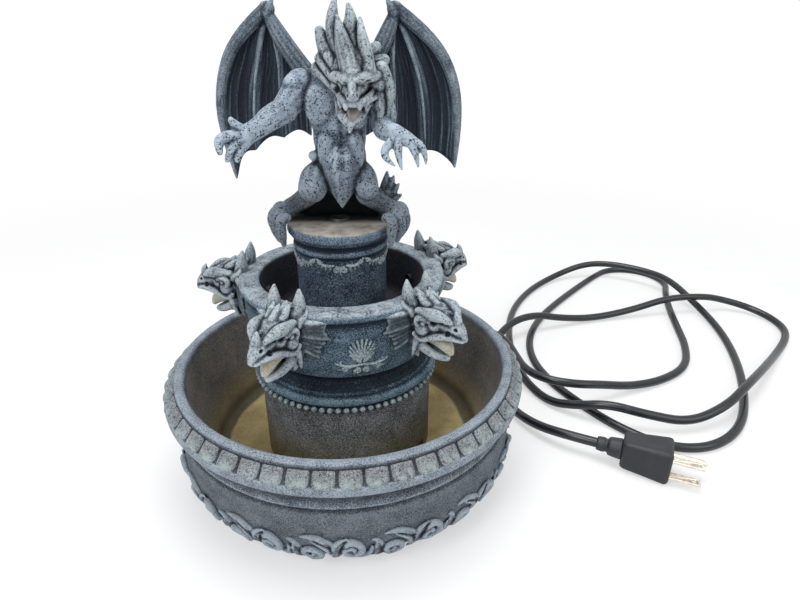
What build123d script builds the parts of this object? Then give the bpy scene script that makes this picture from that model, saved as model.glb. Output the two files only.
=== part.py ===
"""Tabletop water fountain: a round cast basin, a pedestal drum over a small pump, an upper bowl with
five dragon-head spouts, a column and a crouching winged dragon. Millimetres, +Z up, origin on the
table under the basin's axis, front towards -Y."""

import os
from math import cos, pi, radians, sin, tan

from build123d import *

# Basin, turned about Z
PAD_T = 2.0
PAD_PROUD = 1.0
PAD_R = 5.0
PAD_COUNT = 6
FOOT_R = 86.0
FOOT_RING_W = 13.0
UNDER_DEPTH = 9.0
BELLY_R = 103.0
BELLY_LOW_Z = 26.0
BELLY_TOP_Z = 46.0
BELLY_BOW = 2.4
GROOVE_R = 101.5
GROOVE_Z = 48.0
COVE_R = 105.0
COVE_Z = 60.0
COVE_BOW = 0.8
FASCIA_R = 109.0
FASCIA_LOW_Z = 63.0
FASCIA_TOP_Z = 69.5
RIM_R = 110.0
LIP_R = 103.4
LIP_IN_R = 97.4
LIP_DROP = 1.4
BASIN_H = 77.6
FLOOR_Z = 18.0
FLOOR_R = 79.0
FLOOR_EDGE_R = 84.5
FLOOR_EDGE_RISE = 6.0
FLOOR_EDGE_BOW = 1.8
TONGUE_COUNT = 52
TONGUE_TURN = 2.3
TONGUE_GAP = 1.5
TONGUE_RELIEF = 1.2
TONGUE_BOW = 0.8
TONGUE_CUT_L = 22.0

# Pedestal drum and upper bowl
DRUM_R = 52.5
DRUM_WALL = 6.0
DRUM_TOP_Z = 70.0
NOTCH_W = 11.0
NOTCH_H = 9.0
LEAD_NOTCH_W = 15.0
LEAD_NOTCH_H = 16.0
BOWL_TURN = 12.3
SPIGOT_DEPTH = 6.0
SPIGOT_CLEAR = 0.5
SPIGOT_W = 6.0
SPIGOT_CHAMFER = 5.0
FLANGE_R = 56.0
FLANGE_BAND_H = 6.0
FLANGE_TOP_Z = 80.5
BAND_SET_IN = 0.6
FLANGE_CHAMFER = 1.2
STEP_R = 51.6
STEP_W = 0.8
STEP_H = 2.0
WAIST_R = 48.5
WAIST_Z = 88.0
WAIST_BOW = 1.2
BOWL_LOW_R = 52.0
BOWL_LOW_Z = 93.0
BOWL_WALL_R = 57.5
BOWL_BOW = 1.6
BOWL_RIM_R = 59.7
BOWL_RIM_H = 6.0
RIM_CHAMFER = 1.5
BOWL_IN_R = 49.0
BOWL_H_Z = 132.8
BOWL_FLOOR_Z = 104.5
BOWL_FLOOR_R = 42.0
BOWL_FLOOR_T = 6.5
FLOOR_COVE = 1.8
BOWL_BORE_R = 6.2

# Column and platform
COLUMN_R = 25.7
COLUMN_CORE_R = 19.0
COLUMN_BASE_R = 27.5
COLUMN_BASE_H = 4.0
PLATFORM_R = 29.6
PLATFORM_EDGE_H = 5.0
PLATFORM_Z = 165.0
CAP_H = 14.0
CAP_CHAMFER = 3.0
MOULD_W = 1.2
MOULD_H = 3.0
PLATFORM_CHAMFER = 0.8
HOSE_R = 5.5
HOSE_BORE_R = 4.0
HOSE_CLEAR = 0.3
HOSE_TOP_GAP = 0.4
OUTLET_R = 4.0
OUTLET_CLEAR = 0.05
OUTLET_BORE_R = 2.6
OUTLET_FLANGE_R = 6.5
OUTLET_FLANGE_T = 1.5
OUTLET_L = 7.0

# Head spouts, turned with the bowl, angles from its front
HEAD_ANGLES = (-36.0, 36.0, 108.0, 180.0, -108.0)
HEAD_Z = 118.0
SPOUT_R = 3.5
SPOUT_BORE_R = 2.7
SPOUT_REACH = 7.0
SPOUT_INSIDE = 1.0
FIN_T = 2.0
FIN_SWEEP = 24.0
CREST_T = 3.0

# Crouching dragon
WING_SWEEP = 14.0
WING_ROOT_X = 9.0
WING_ROOT_Y = 12.0
WING_T = 2.2
SPADE_T = 3.0

# Pump, its motor axis level and pointing at the lead's grommet
LEAD_ANGLE = 62.0
LEAD_Z = 26.0
CORD_R = 3.25
CORD_CLEAR = 0.1
CUP_H = 3.0
CUP_R = 6.0
PUMP_W = 40.0
PUMP_H = 38.0
PUMP_FILLET = 3.0
HOUSING_L = 30.0
VOLUTE_L = 16.0
VOLUTE_WALL = 3.0
STRAINER_L = 16.0
STRAINER_WALL = 2.2
SLOT_COUNT = 6
SLOT_W = 2.6
CHAMBER_R = 13.0
INTAKE_R = 6.0
ROTOR_WELL_R = 8.6
ROTOR_CLEAR = 0.6
ROTOR_L = 20.0
SHAFT_R = 1.5
SHAFT_CLEAR = 0.06
BUSH_R = 3.2
BUSH_L = 3.0
SPIDER_W = 2.4
IMPELLER_R = 11.5
IMPELLER_BLADES = 6
IMPELLER_BLADE_W = 1.2
IMPELLER_BACK_T = 1.6
SEAL_R = 15.5
SEAL_W = 1.6
BOSS_R = 7.0
BOSS_H = 5.0
BARB_FLANGE_T = 2.0
BARB_L = 15.0
BARB_CLEAR = 0.05
DUCT_R = 2.8
KNOB_R = 8.0
KNOB_T = 2.6
KNOB_PIN_R = 2.0
KNOB_CLEAR = 0.08
GLAND_R = 5.0
GLAND_L = 5.5

# Grommet in the basin's back wall
GROMMET_R = 6.0
GROMMET_FLANGE_R = 9.0
GROMMET_FLANGE_T = 2.5
GROMMET_SEAT_R = 101.0
GROMMET_END_R = 120.0
GROMMET_TIP_R = 4.4
GROMMET_INSIDE_R = 80.0

# Plug lying on the table, blades stacked, earth pin on the far side
PLUG_TAIL = (165.0, -7.0)
PLUG_HEADING = -24.0
PLUG_RELIEF_L = 16.0
PLUG_RELIEF_TIP_R = 4.3
PLUG_RELIEF_R = 7.0
PLUG_L = 30.0
PLUG_W = 22.0
PLUG_H = 24.0
PLUG_FILLET = 3.0
BLADE_L = 18.0
BLADE_W = 6.35
BLADE_T = 1.5
BLADE_PITCH = 12.7
EARTH_R = 2.4
EARTH_L = 21.0
EARTH_OFFSET = 11.9

BASE_Z = PAD_PROUD
BALL_SWELL = 1.03


def polar(radius, angle, z=0.0):
    """Point at a radius and an angle in degrees, counted from +X towards +Y."""
    return Vector(radius * cos(radians(angle)), radius * sin(radians(angle)), z)


def turned(start, *steps):
    """Solid turned about Z from a closed outline of (r, z) points; a step of four numbers is an arc."""
    here, edges = start, []
    for step in (*steps, start):
        there = step[-2:]
        a, b = (here[0], 0, here[1]), (there[0], 0, there[1])
        if len(step) == 4:
            edges.append(ThreePointArc(a, (step[0], 0, step[1]), b))
        else:
            edges.append(Line(a, b))
        here = there
    return revolve(make_face(edges), Axis.Z)


def rod(start, end, radius, end_radius=None):
    """Round bar, or cone, between two points."""
    start, end = Vector(*start), Vector(*end)
    length = (end - start).length
    plane = Plane(start, z_dir=end - start)
    low = (Align.CENTER, Align.CENTER, Align.MIN)
    if end_radius is None:
        return plane * Cylinder(radius, length, align=low)
    return plane * Cone(radius, end_radius, length, align=low)


def ball(centre, radius, seam=0.0):
    """Sphere whose seam is turned from +X by an angle in degrees."""
    return Pos(*centre) * Rot(0, 0, seam) * Sphere(radius)


def limb(points, radii, seam=0.0):
    """Chain of cones along a line of points, with a slightly larger ball at each point."""
    pieces = [ball(p, BALL_SWELL * r, seam) for p, r in zip(points, radii)]
    pieces += [rod(*pair) for pair in zip(points, points[1:], radii, radii[1:])]
    return pieces[0] + pieces[1:]


def slab(points, thickness, plane):
    """Flat plate with a closed outline of straight edges, drawn in a plane and centred on it."""
    return extrude(plane * make_face(Polyline(*points, close=True)), thickness / 2, both=True)


# Basin
def basin():
    lip_z = BASIN_H - LIP_DROP
    body = turned(
        (0, BASE_Z + UNDER_DEPTH),
        (FOOT_R - FOOT_RING_W, BASE_Z + UNDER_DEPTH),
        (FOOT_R - FOOT_RING_W, BASE_Z),
        (FOOT_R, BASE_Z),
        ((FOOT_R + BELLY_R) / 2 + BELLY_BOW, (BASE_Z + BELLY_LOW_Z) / 2, BELLY_R, BELLY_LOW_Z),
        (BELLY_R, BELLY_TOP_Z),
        (GROOVE_R, GROOVE_Z),
        (GROOVE_R + COVE_BOW, (GROOVE_Z + COVE_Z) / 2, COVE_R, COVE_Z),
        (FASCIA_R, FASCIA_LOW_Z),
        (RIM_R, FASCIA_TOP_Z),
        ((RIM_R + LIP_R) / 2 + TONGUE_BOW, (FASCIA_TOP_Z + lip_z) / 2 + TONGUE_BOW, LIP_R, lip_z),
        (LIP_R, BASIN_H),
        (LIP_IN_R, BASIN_H),
        (FLOOR_EDGE_R, FLOOR_Z + FLOOR_EDGE_RISE),
        (FLOOR_EDGE_R - FLOOR_EDGE_BOW, FLOOR_Z + FLOOR_EDGE_BOW, FLOOR_R, FLOOR_Z),
        (0, FLOOR_Z),
    )
    slope = Plane((RIM_R, 0, FASCIA_TOP_Z), x_dir=(LIP_R - RIM_R, 0, lip_z - FASCIA_TOP_Z), z_dir=(0, 1, 0))
    groove = slope * Box(TONGUE_CUT_L, 2 * TONGUE_RELIEF, TONGUE_GAP)
    keep_lip = turned((LIP_R, 0), (RIM_R * 2, 0), (RIM_R * 2, BASIN_H), (LIP_R, BASIN_H))
    keep_fascia = turned((0, FASCIA_TOP_Z), (RIM_R * 2, FASCIA_TOP_Z), (RIM_R * 2, BASIN_H), (0, BASIN_H))
    groove = groove & keep_lip & keep_fascia
    body -= [Rot(0, 0, TONGUE_TURN + i * 360 / TONGUE_COUNT) * groove for i in range(TONGUE_COUNT)]
    for spot in pad_places():
        body -= Pos(spot.X, spot.Y, BASE_Z) * Cylinder(PAD_R, 2 * (PAD_T - PAD_PROUD))
    inside, seat, outside = (polar(r, LEAD_ANGLE, LEAD_Z) for r in (0.8 * FLOOR_R, GROMMET_SEAT_R, RIM_R))
    body -= rod(inside, outside, GROMMET_R)
    body -= rod(seat, outside, GROMMET_FLANGE_R)
    return body


def pad_places():
    return [polar(FOOT_R - FOOT_RING_W / 2, i * 360 / PAD_COUNT) for i in range(PAD_COUNT)]


def foot_pads():
    return [Pos(p.X, p.Y, PAD_T / 2) * Cylinder(PAD_R, PAD_T) for p in pad_places()]


def cord_grommet():
    seat, end = GROMMET_SEAT_R + GROMMET_FLANGE_T, GROMMET_END_R
    spots = [polar(r, LEAD_ANGLE, LEAD_Z) for r in (GROMMET_INSIDE_R, GROMMET_SEAT_R, seat, end)]
    body = rod(spots[0], spots[1], GROMMET_R)
    body += rod(spots[1], spots[2], GROMMET_FLANGE_R)
    body += rod(spots[2], spots[3], GROMMET_R, GROMMET_TIP_R)
    return body - rod(spots[0], spots[3], CORD_R + CORD_CLEAR)


# Pedestal drum, upper bowl and column
def pedestal_drum():
    inside = DRUM_R - DRUM_WALL
    body = turned((inside, FLOOR_Z), (DRUM_R, FLOOR_Z), (DRUM_R, DRUM_TOP_Z), (inside, DRUM_TOP_Z))
    for i in range(4):
        width, height = (LEAD_NOTCH_W, LEAD_NOTCH_H) if i == 0 else (NOTCH_W, NOTCH_H)
        arch = Box(4 * DRUM_WALL, width, 2 * height)
        body -= Rot(0, 0, LEAD_ANGLE + 90 * i) * Pos(DRUM_R, 0, FLOOR_Z) * arch
    return body


def upper_bowl():
    spigot_r = DRUM_R - DRUM_WALL - SPIGOT_CLEAR
    hollow_r = spigot_r - SPIGOT_W
    low = DRUM_TOP_Z - SPIGOT_DEPTH
    under = BOWL_FLOOR_Z - BOWL_FLOOR_T
    rim_low = BOWL_H_Z - BOWL_RIM_H
    body = turned(
        (BOWL_BORE_R, under),
        (hollow_r - SPIGOT_CHAMFER, under),
        (hollow_r, under - SPIGOT_CHAMFER),
        (hollow_r, low),
        (spigot_r, low),
        (spigot_r, DRUM_TOP_Z),
        (FLANGE_R - BAND_SET_IN, DRUM_TOP_Z),
        (FLANGE_R - BAND_SET_IN, DRUM_TOP_Z + FLANGE_BAND_H),
        (FLANGE_R, DRUM_TOP_Z + FLANGE_BAND_H + BAND_SET_IN),
        (FLANGE_R - FLANGE_CHAMFER, FLANGE_TOP_Z),
        (STEP_R + STEP_W, FLANGE_TOP_Z),
        (STEP_R, FLANGE_TOP_Z + STEP_H),
        ((WAIST_R + STEP_R) / 2 - WAIST_BOW, WAIST_Z - 2 * WAIST_BOW, WAIST_R, WAIST_Z),
        (WAIST_R, (WAIST_Z + BOWL_LOW_Z) / 2, BOWL_LOW_R, BOWL_LOW_Z),
        ((BOWL_LOW_R + BOWL_WALL_R) / 2 + BOWL_BOW, (BOWL_LOW_Z + rim_low) / 2, BOWL_WALL_R, rim_low),
        (BOWL_RIM_R, rim_low + RIM_CHAMFER),
        (BOWL_RIM_R, BOWL_H_Z - RIM_CHAMFER),
        (BOWL_RIM_R - RIM_CHAMFER, BOWL_H_Z),
        (BOWL_IN_R, BOWL_H_Z),
        (BOWL_FLOOR_R + 2 * FLOOR_COVE, BOWL_FLOOR_Z + 2 * FLOOR_COVE),
        (BOWL_FLOOR_R + 1.4 * FLOOR_COVE, BOWL_FLOOR_Z + 0.6 * FLOOR_COVE, BOWL_FLOOR_R, BOWL_FLOOR_Z),
        (BOWL_BORE_R, BOWL_FLOOR_Z),
    )
    for angle in head_angles():
        body -= rod(polar(0.7 * BOWL_IN_R, angle, HEAD_Z), polar(BOWL_RIM_R + 5, angle, HEAD_Z), SPOUT_R)
    return body


def upper_column():
    bore = HOSE_R + HOSE_CLEAR
    cap = PLATFORM_Z - CAP_H
    edge = PLATFORM_Z - PLATFORM_EDGE_H
    body = turned(
        (COLUMN_CORE_R, BOWL_FLOOR_Z),
        (COLUMN_BASE_R, BOWL_FLOOR_Z),
        (COLUMN_BASE_R, BOWL_FLOOR_Z + COLUMN_BASE_H - MOULD_W),
        (COLUMN_R, BOWL_FLOOR_Z + COLUMN_BASE_H),
        (COLUMN_R, cap),
        (COLUMN_R + MOULD_W, cap),
        (COLUMN_R + MOULD_W, cap + MOULD_H),
        (COLUMN_R, cap + MOULD_H + MOULD_W),
        (COLUMN_R + MOULD_W, edge - MOULD_H, PLATFORM_R - MOULD_W, edge - MOULD_W / 2),
        (PLATFORM_R, edge),
        (PLATFORM_R, PLATFORM_Z - PLATFORM_CHAMFER),
        (PLATFORM_R - PLATFORM_CHAMFER, PLATFORM_Z),
        (OUTLET_R + OUTLET_CLEAR, PLATFORM_Z),
        (OUTLET_R + OUTLET_CLEAR, PLATFORM_Z - OUTLET_L),
        (bore, PLATFORM_Z - OUTLET_L),
        (bore, cap),
        (COLUMN_CORE_R - CAP_CHAMFER, cap),
        (COLUMN_CORE_R, cap - CAP_CHAMFER),
    )
    return body


def outlet_nozzle():
    low, top = PLATFORM_Z - OUTLET_L, PLATFORM_Z + OUTLET_FLANGE_T
    return turned(
        (OUTLET_BORE_R, low),
        (OUTLET_R, low),
        (OUTLET_R, PLATFORM_Z),
        (OUTLET_FLANGE_R, PLATFORM_Z),
        (OUTLET_FLANGE_R - 1, top),
        (OUTLET_BORE_R, top),
    )


# Head spouts
def head_angles():
    """The heads' angles counted from +X; the bowl's front is turned from -Y."""
    return [BOWL_TURN - 90 + a for a in HEAD_ANGLES]


def spout_tubes():
    inner, outer = BOWL_IN_R - 3.5 - SPOUT_INSIDE, BOWL_WALL_R + SPOUT_REACH
    tubes = []
    for angle in head_angles():
        ends = polar(inner, angle, HEAD_Z), polar(outer, angle, HEAD_Z)
        tubes.append(rod(*ends, SPOUT_R) - rod(*ends, SPOUT_BORE_R))
    return tubes


def dragon_head(angle, bowl, tube):
    """One spout head: x is away from the bowl's axis, counted from the bowl's wall, z from the spout."""
    plane = Plane(polar(BOWL_WALL_R, angle, HEAD_Z), x_dir=polar(1, angle), z_dir=(0, 0, 1))
    towards_bowl = 180
    parts = [
        limb([(2, 0, 7), (10, 0, 8.7), (20, 0, 9.2), (28, 0, 6.2)], [10, 9.5, 7, 4.8], towards_bowl),
        limb([(0, 0, -6), (10, 0, -7.5), (18, 0, -10.5)], [6.4, 5, 2.6], towards_bowl),
        limb([(-2, 0, -2), (4, 0, -2.5)], [8.5, 6], towards_bowl),
        limb([(26, 0, 9), (25, 0, 15)], [2.8, 0.8], towards_bowl),
    ]
    fin = [(3, 9), (23, 9), (20, 4), (24.5, 0.5), (19, -3), (17.5, -9), (6, -9)]
    fin_plane = Plane((0, 0, 0), x_dir=(0, 1, 0), z_dir=(1, 0, 0))
    for side in (-1, 1):
        horn = [(2, 6 * side, 12), (0, 7.4 * side, 19), (-1, 7.4 * side, 26.5)]
        parts.append(limb(horn, [3.8, 3.2, 0.9], towards_bowl))
        blade = slab([(side * y, z) for y, z in fin], FIN_T, fin_plane)
        parts.append(Pos(-1, 0, 2) * Rot(0, 0, side * FIN_SWEEP) * blade)
    crest = [(-6, 10), (12, 12), (9, 20), (4, 17), (1, 22), (-3, 16)]
    parts.append(slab(crest, CREST_T, Plane.XZ))
    return plane * (parts[0] + parts[1:]) - bowl - tube


# Crouching dragon, in its own frame: x to the viewer's right, y away, z above the platform
def figure(shape):
    return Pos(0, 0, PLATFORM_Z) * shape


def figure_torso():
    trunk = limb([(0, 3, 20), (0.5, 0, 38), (2, 1, 57), (3, 2, 66)], [14, 12.6, 16, 14.5])
    neck = limb([(4, 1, 72), (7, -3, 82)], [9.5, 7.5])
    shoulders = [ball((-12, 3, 65), 9.5), ball((17, 3, 64), 9.5)]
    haunches = [ball((-10, 6, 20), 10.5), ball((10, 6, 20), 10.5)]
    seat = limb([(-15, 10, 7), (1, 15, 9), (15, 10, 7)], [8.4, 10.4, 8.4])
    return trunk + [neck, *shoulders, *haunches, seat]


def figure_head():
    skull = limb([(10, -6, 79), (11.5, -12, 77), (13.5, -19, 73), (15.5, -27, 68)], [12, 10.5, 7.6, 5])
    jaw = limb([(7, -8, 69), (9, -15, 63), (10, -20, 58)], [6.4, 5.2, 3])
    locks = [
        ([(6, -4, 87), (3, 0, 98), (4, 3, 110)], [6, 4.4, 1.0]),
        ([(10, -10, 86), (7, -8, 94), (4, -6, 103)], [5, 3.6, 1.0]),
        ([(15, -5, 85), (16, -2, 93), (15.5, 1, 101)], [5, 3.6, 1.0]),
        ([(1, -2, 83), (-3, 1, 89), (-5, 4, 95)], [5, 3.6, 1.0]),
        ([(19, -6, 78), (24, -3, 81), (28, 0, 84)], [4, 2.8, 0.8]),
    ]
    return skull + [jaw, *[limb(*lock) for lock in locks]]


def claws(wrist, tips, radius):
    """Bent digits from a wrist to their tips, each with a raised knuckle."""
    digits = []
    for tip, rise in tips:
        knuckle = [w + 0.55 * (t - w) for w, t in zip(wrist, tip)]
        knuckle[2] += rise
        digits.append(limb([wrist, knuckle, tip], [radius, 0.8 * radius, 0.3 * radius]))
    return digits


def figure_arm(side):
    if side < 0:
        line = [(-15, 0, 65), (-25, -11, 56), (-34, -19, 51), (-46, -27, 48)]
        tips = [((-49, -29, 57), 3), ((-60, -35, 44), 4), ((-57, -37, 38), 3), ((-50, -36, 37), 2)]
    else:
        line = [(19, 1, 63), (25.5, -10.5, 55), (27.5, -20, 51.5), (32.5, -27.5, 51)]
        tips = [((27, -33, 37), 4), ((35, -37, 35), 5), ((43, -36, 37), 5), ((46, -32, 38), 6)]
    towards_body = 90 + 90 * side
    arm = limb(line, [8.2, 6, 5.8, 4.8], seam=towards_body)
    return arm + claws(line[-1], tips, 2.9)


def figure_leg(side):
    thigh = limb([(9 * side, 5, 23), (11.5 * side, -4, 26), (14 * side, -11, 21.5)], [9.5, 10.4, 8.2])
    shin = limb([(14.5 * side, -7, 17), (22 * side, 0, 8), (28 * side, -1, 5)], [7, 5.6, 5.2])
    foot = limb([(28 * side, 1, 4.6), (30 * side, -8, 4)], [5.4, 4.8])
    toes = []
    for y, drop in ((-13, -4.5), (-5.5, -6), (2, -4.5)):
        edge = PLATFORM_R + 4.8
        line = [(28 * side, 0.7 * y, 4), (edge * side, y, 1.5), (edge * side, y, drop)]
        toes.append(limb(line, [4.2, 4.4, 2.6]))
    return thigh + [shin, foot, *toes]


def figure_tail():
    line = [(2, 13, 16), (6, 22, 9), (17, 26, 6), (28, 21, 7), (33, 12, 12)]
    tail = limb(line, [7.5, 6, 4.8, 4, 3])
    spade = [(28, 8), (33, 24), (40, 9), (34, 3)]
    return tail + slab(spade, SPADE_T, Plane((0, line[-1][1], 0), x_dir=(1, 0, 0), z_dir=(0, -1, 0)))


def figure_wing(side):
    """Bat wing, swept back: u runs outwards from the shoulder blade and v up from the platform."""
    sweep = radians(WING_SWEEP)
    outwards = (side * cos(sweep), sin(sweep), 0)
    facing = (sin(sweep), -side * cos(sweep), 0)
    plane = Plane((WING_ROOT_X * side, WING_ROOT_Y, 0), x_dir=outwards, z_dir=facing)
    inner, wrist, outer, tip = (1, 74), (23, 107), (58.5, 68), (55.5, 20.5)
    edges = [
        Line(inner, wrist),
        ThreePointArc(wrist, (45, 92), outer),
        ThreePointArc(outer, (60, 44), tip),
        ThreePointArc(tip, (49, 32.5), (40.5, 34)),
        ThreePointArc((40.5, 34), (32, 40), (23, 41.5)),
        ThreePointArc((23, 41.5), (15, 45), (6, 43)),
        Line((6, 43), inner),
    ]
    sheet = extrude(plane * make_face(edges), WING_T / 2, both=True)
    bones = [
        ([(1, 70), (8, 83), (23, 107)], [5.6, 4.6, 3.6]),
        ([(23, 107), (43, 94), (56, 71), (58.7, 45), (55.5, 21.5)], [3.9, 3.6, 3.2, 2.6, 1.2]),
        ([(23, 104), (35, 76), (40.5, 35)], [2.5, 2.0, 1.4]),
        ([(22, 103), (22, 74), (23, 42.5)], [2.4, 1.8, 1.3]),
    ]
    for points, radii in bones:
        sheet += limb([tuple(plane.from_local_coords((u, v, 0))) for u, v in points], radii)
    return sheet


# Pump, in its own frame: x along the motor axis towards the lead, z up from the basin's floor
def pump_place(shape):
    turn = Rot(0, 0, LEAD_ANGLE)
    if isinstance(shape, list):
        return [Pos(0, 0, FLOOR_Z) * turn * s for s in shape]
    return Pos(0, 0, FLOOR_Z) * turn * shape


AXIS_H = CUP_H + PUMP_H / 2
FRONT_X = -VOLUTE_L / 2
REAR_X = VOLUTE_L / 2
HOUSING_END_X = REAR_X + HOUSING_L
PUMP_TOP_H = CUP_H + PUMP_H


def along(x0, x1, radius):
    return rod((x0, 0, AXIS_H), (x1, 0, AXIS_H), radius)


def block(x0, x1, shrink=0.0):
    box = Box(x1 - x0, PUMP_W - 2 * shrink, PUMP_H - 2 * shrink)
    box = fillet(box.edges().filter_by(Axis.X), PUMP_FILLET)
    return Pos((x0 + x1) / 2, 0, AXIS_H) * box


def rotor_span():
    start = REAR_X + 0.5
    return start, start + ROTOR_L


def pump_housing():
    start, end = rotor_span()
    body = block(REAR_X, HOUSING_END_X)
    body -= along(REAR_X, end + ROTOR_CLEAR, ROTOR_WELL_R)
    body -= along(end + ROTOR_CLEAR, end + ROTOR_CLEAR + BUSH_L, BUSH_R)
    body -= along(REAR_X, REAR_X + SEAL_W, SEAL_R + SEAL_W) - along(REAR_X, REAR_X + SEAL_W, SEAL_R)
    gland_z = LEAD_Z - FLOOR_Z
    body -= rod((HOUSING_END_X - GLAND_L, 0, gland_z), (HOUSING_END_X, 0, gland_z), CORD_R)
    return body


def pump_seal():
    return along(REAR_X, REAR_X + SEAL_W, SEAL_R + SEAL_W) - along(REAR_X, REAR_X + SEAL_W, SEAL_R)


def pump_volute():
    body = block(FRONT_X, REAR_X)
    boss = rod((0, 0, PUMP_TOP_H - 1), (0, 0, PUMP_TOP_H + BOSS_H), BOSS_R)
    body += boss
    body -= along(FRONT_X + VOLUTE_WALL, REAR_X, CHAMBER_R)
    intake = along(FRONT_X, FRONT_X + VOLUTE_WALL, INTAKE_R)
    spider = along(FRONT_X, FRONT_X + VOLUTE_WALL, BUSH_R + 1.2)
    for i in range(3):
        bar = Pos(FRONT_X + VOLUTE_WALL / 2, 0, INTAKE_R / 2) * Box(VOLUTE_WALL, SPIDER_W, INTAKE_R)
        spider += Pos(0, 0, AXIS_H) * Rot(120 * i, 0, 0) * bar
    body -= intake - spider
    body -= along(FRONT_X, FRONT_X + VOLUTE_WALL, BUSH_R)
    body -= rod((0, 0, AXIS_H), (0, 0, PUMP_TOP_H + BOSS_H), DUCT_R)
    return body


def rotor_shaft():
    end = rotor_span()[1] + ROTOR_CLEAR + BUSH_L
    return along(FRONT_X, end, SHAFT_R)


def shaft_bushes():
    end = rotor_span()[1] + ROTOR_CLEAR
    spans = [(FRONT_X, FRONT_X + VOLUTE_WALL), (end, end + BUSH_L)]
    return [along(a, b, BUSH_R) - along(a, b, SHAFT_R) for a, b in spans]


def impeller():
    start = rotor_span()[0]
    back = REAR_X - ROTOR_CLEAR
    front = FRONT_X + VOLUTE_WALL + ROTOR_CLEAR
    body = along(back - IMPELLER_BACK_T, back, IMPELLER_R) + along(front, start, SHAFT_R + 2.0)
    height = IMPELLER_R - SHAFT_R - 0.6
    for i in range(IMPELLER_BLADES):
        vane = Box(back - front, IMPELLER_BLADE_W, height)
        vane = Pos((front + back) / 2, 0, SHAFT_R + 0.5 + height / 2) * vane
        body += Pos(0, 0, AXIS_H) * Rot(360 / IMPELLER_BLADES * i, 0, 0) * vane
    return body - along(front, start, SHAFT_R + SHAFT_CLEAR)


def rotor_magnet():
    start, end = rotor_span()
    return along(start, end, ROTOR_WELL_R - ROTOR_CLEAR) - along(start, end, SHAFT_R + SHAFT_CLEAR)


def pump_strainer():
    start = FRONT_X - STRAINER_L
    body = block(start, FRONT_X) - block(start + STRAINER_WALL, FRONT_X, STRAINER_WALL)
    pitch = (PUMP_W - 2 * STRAINER_WALL - 4) / SLOT_COUNT
    for i in range(SLOT_COUNT):
        y = (i - (SLOT_COUNT - 1) / 2) * pitch
        for z in (AXIS_H - PUMP_H * 0.3, AXIS_H + PUMP_H * 0.3):
            body -= Pos(start, y, z) * Box(4 * STRAINER_WALL, SLOT_W, PUMP_H * 0.22)
    return body - along(start, start + STRAINER_WALL, KNOB_PIN_R + KNOB_CLEAR)


def flow_knob():
    start = FRONT_X - STRAINER_L
    body = along(start - KNOB_T, start, KNOB_R) + along(start, start + STRAINER_WALL + 1.5, KNOB_PIN_R)
    return body + Pos(start - KNOB_T - 1, 0, AXIS_H) * Box(2.0, 2.2, 1.7 * KNOB_R)


def suction_cups():
    spots = [(x, y) for x in (FRONT_X + CUP_R, HOUSING_END_X - CUP_R) for y in (-1, 1)]
    reach = PUMP_W / 2 - CUP_R - 1
    return [Pos(x, y * reach, CUP_H / 2) * Cone(CUP_R, CUP_R * 0.55, CUP_H) for x, y in spots]


def hose_barb():
    low = PUMP_TOP_H + BOSS_H
    top = low + BARB_FLANGE_T
    return turned(
        (DUCT_R, low),
        (BOSS_R, low),
        (BOSS_R, top),
        (HOSE_BORE_R - BARB_CLEAR, top),
        (HOSE_BORE_R - BARB_CLEAR, top + BARB_L),
        (DUCT_R, top + BARB_L),
    )


def riser_hose():
    low = FLOOR_Z + PUMP_TOP_H + BOSS_H + BARB_FLANGE_T
    top = PLATFORM_Z - OUTLET_L - HOSE_TOP_GAP
    return turned((HOSE_BORE_R, low), (HOSE_R, low), (HOSE_R, top), (HOSE_BORE_R, top))


def pump_gland():
    z = LEAD_Z - FLOOR_Z
    sleeve = rod((HOUSING_END_X, 0, z), (HOUSING_END_X + GLAND_L, 0, z), GLAND_R, GLAND_R - 0.8)
    return sleeve - rod((HOUSING_END_X, 0, z), (HOUSING_END_X + GLAND_L, 0, z), CORD_R)


def pump_lead():
    ends = polar(HOUSING_END_X - GLAND_L, LEAD_ANGLE, LEAD_Z), polar(GROMMET_END_R, LEAD_ANGLE, LEAD_Z)
    return rod(*ends, CORD_R)


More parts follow.
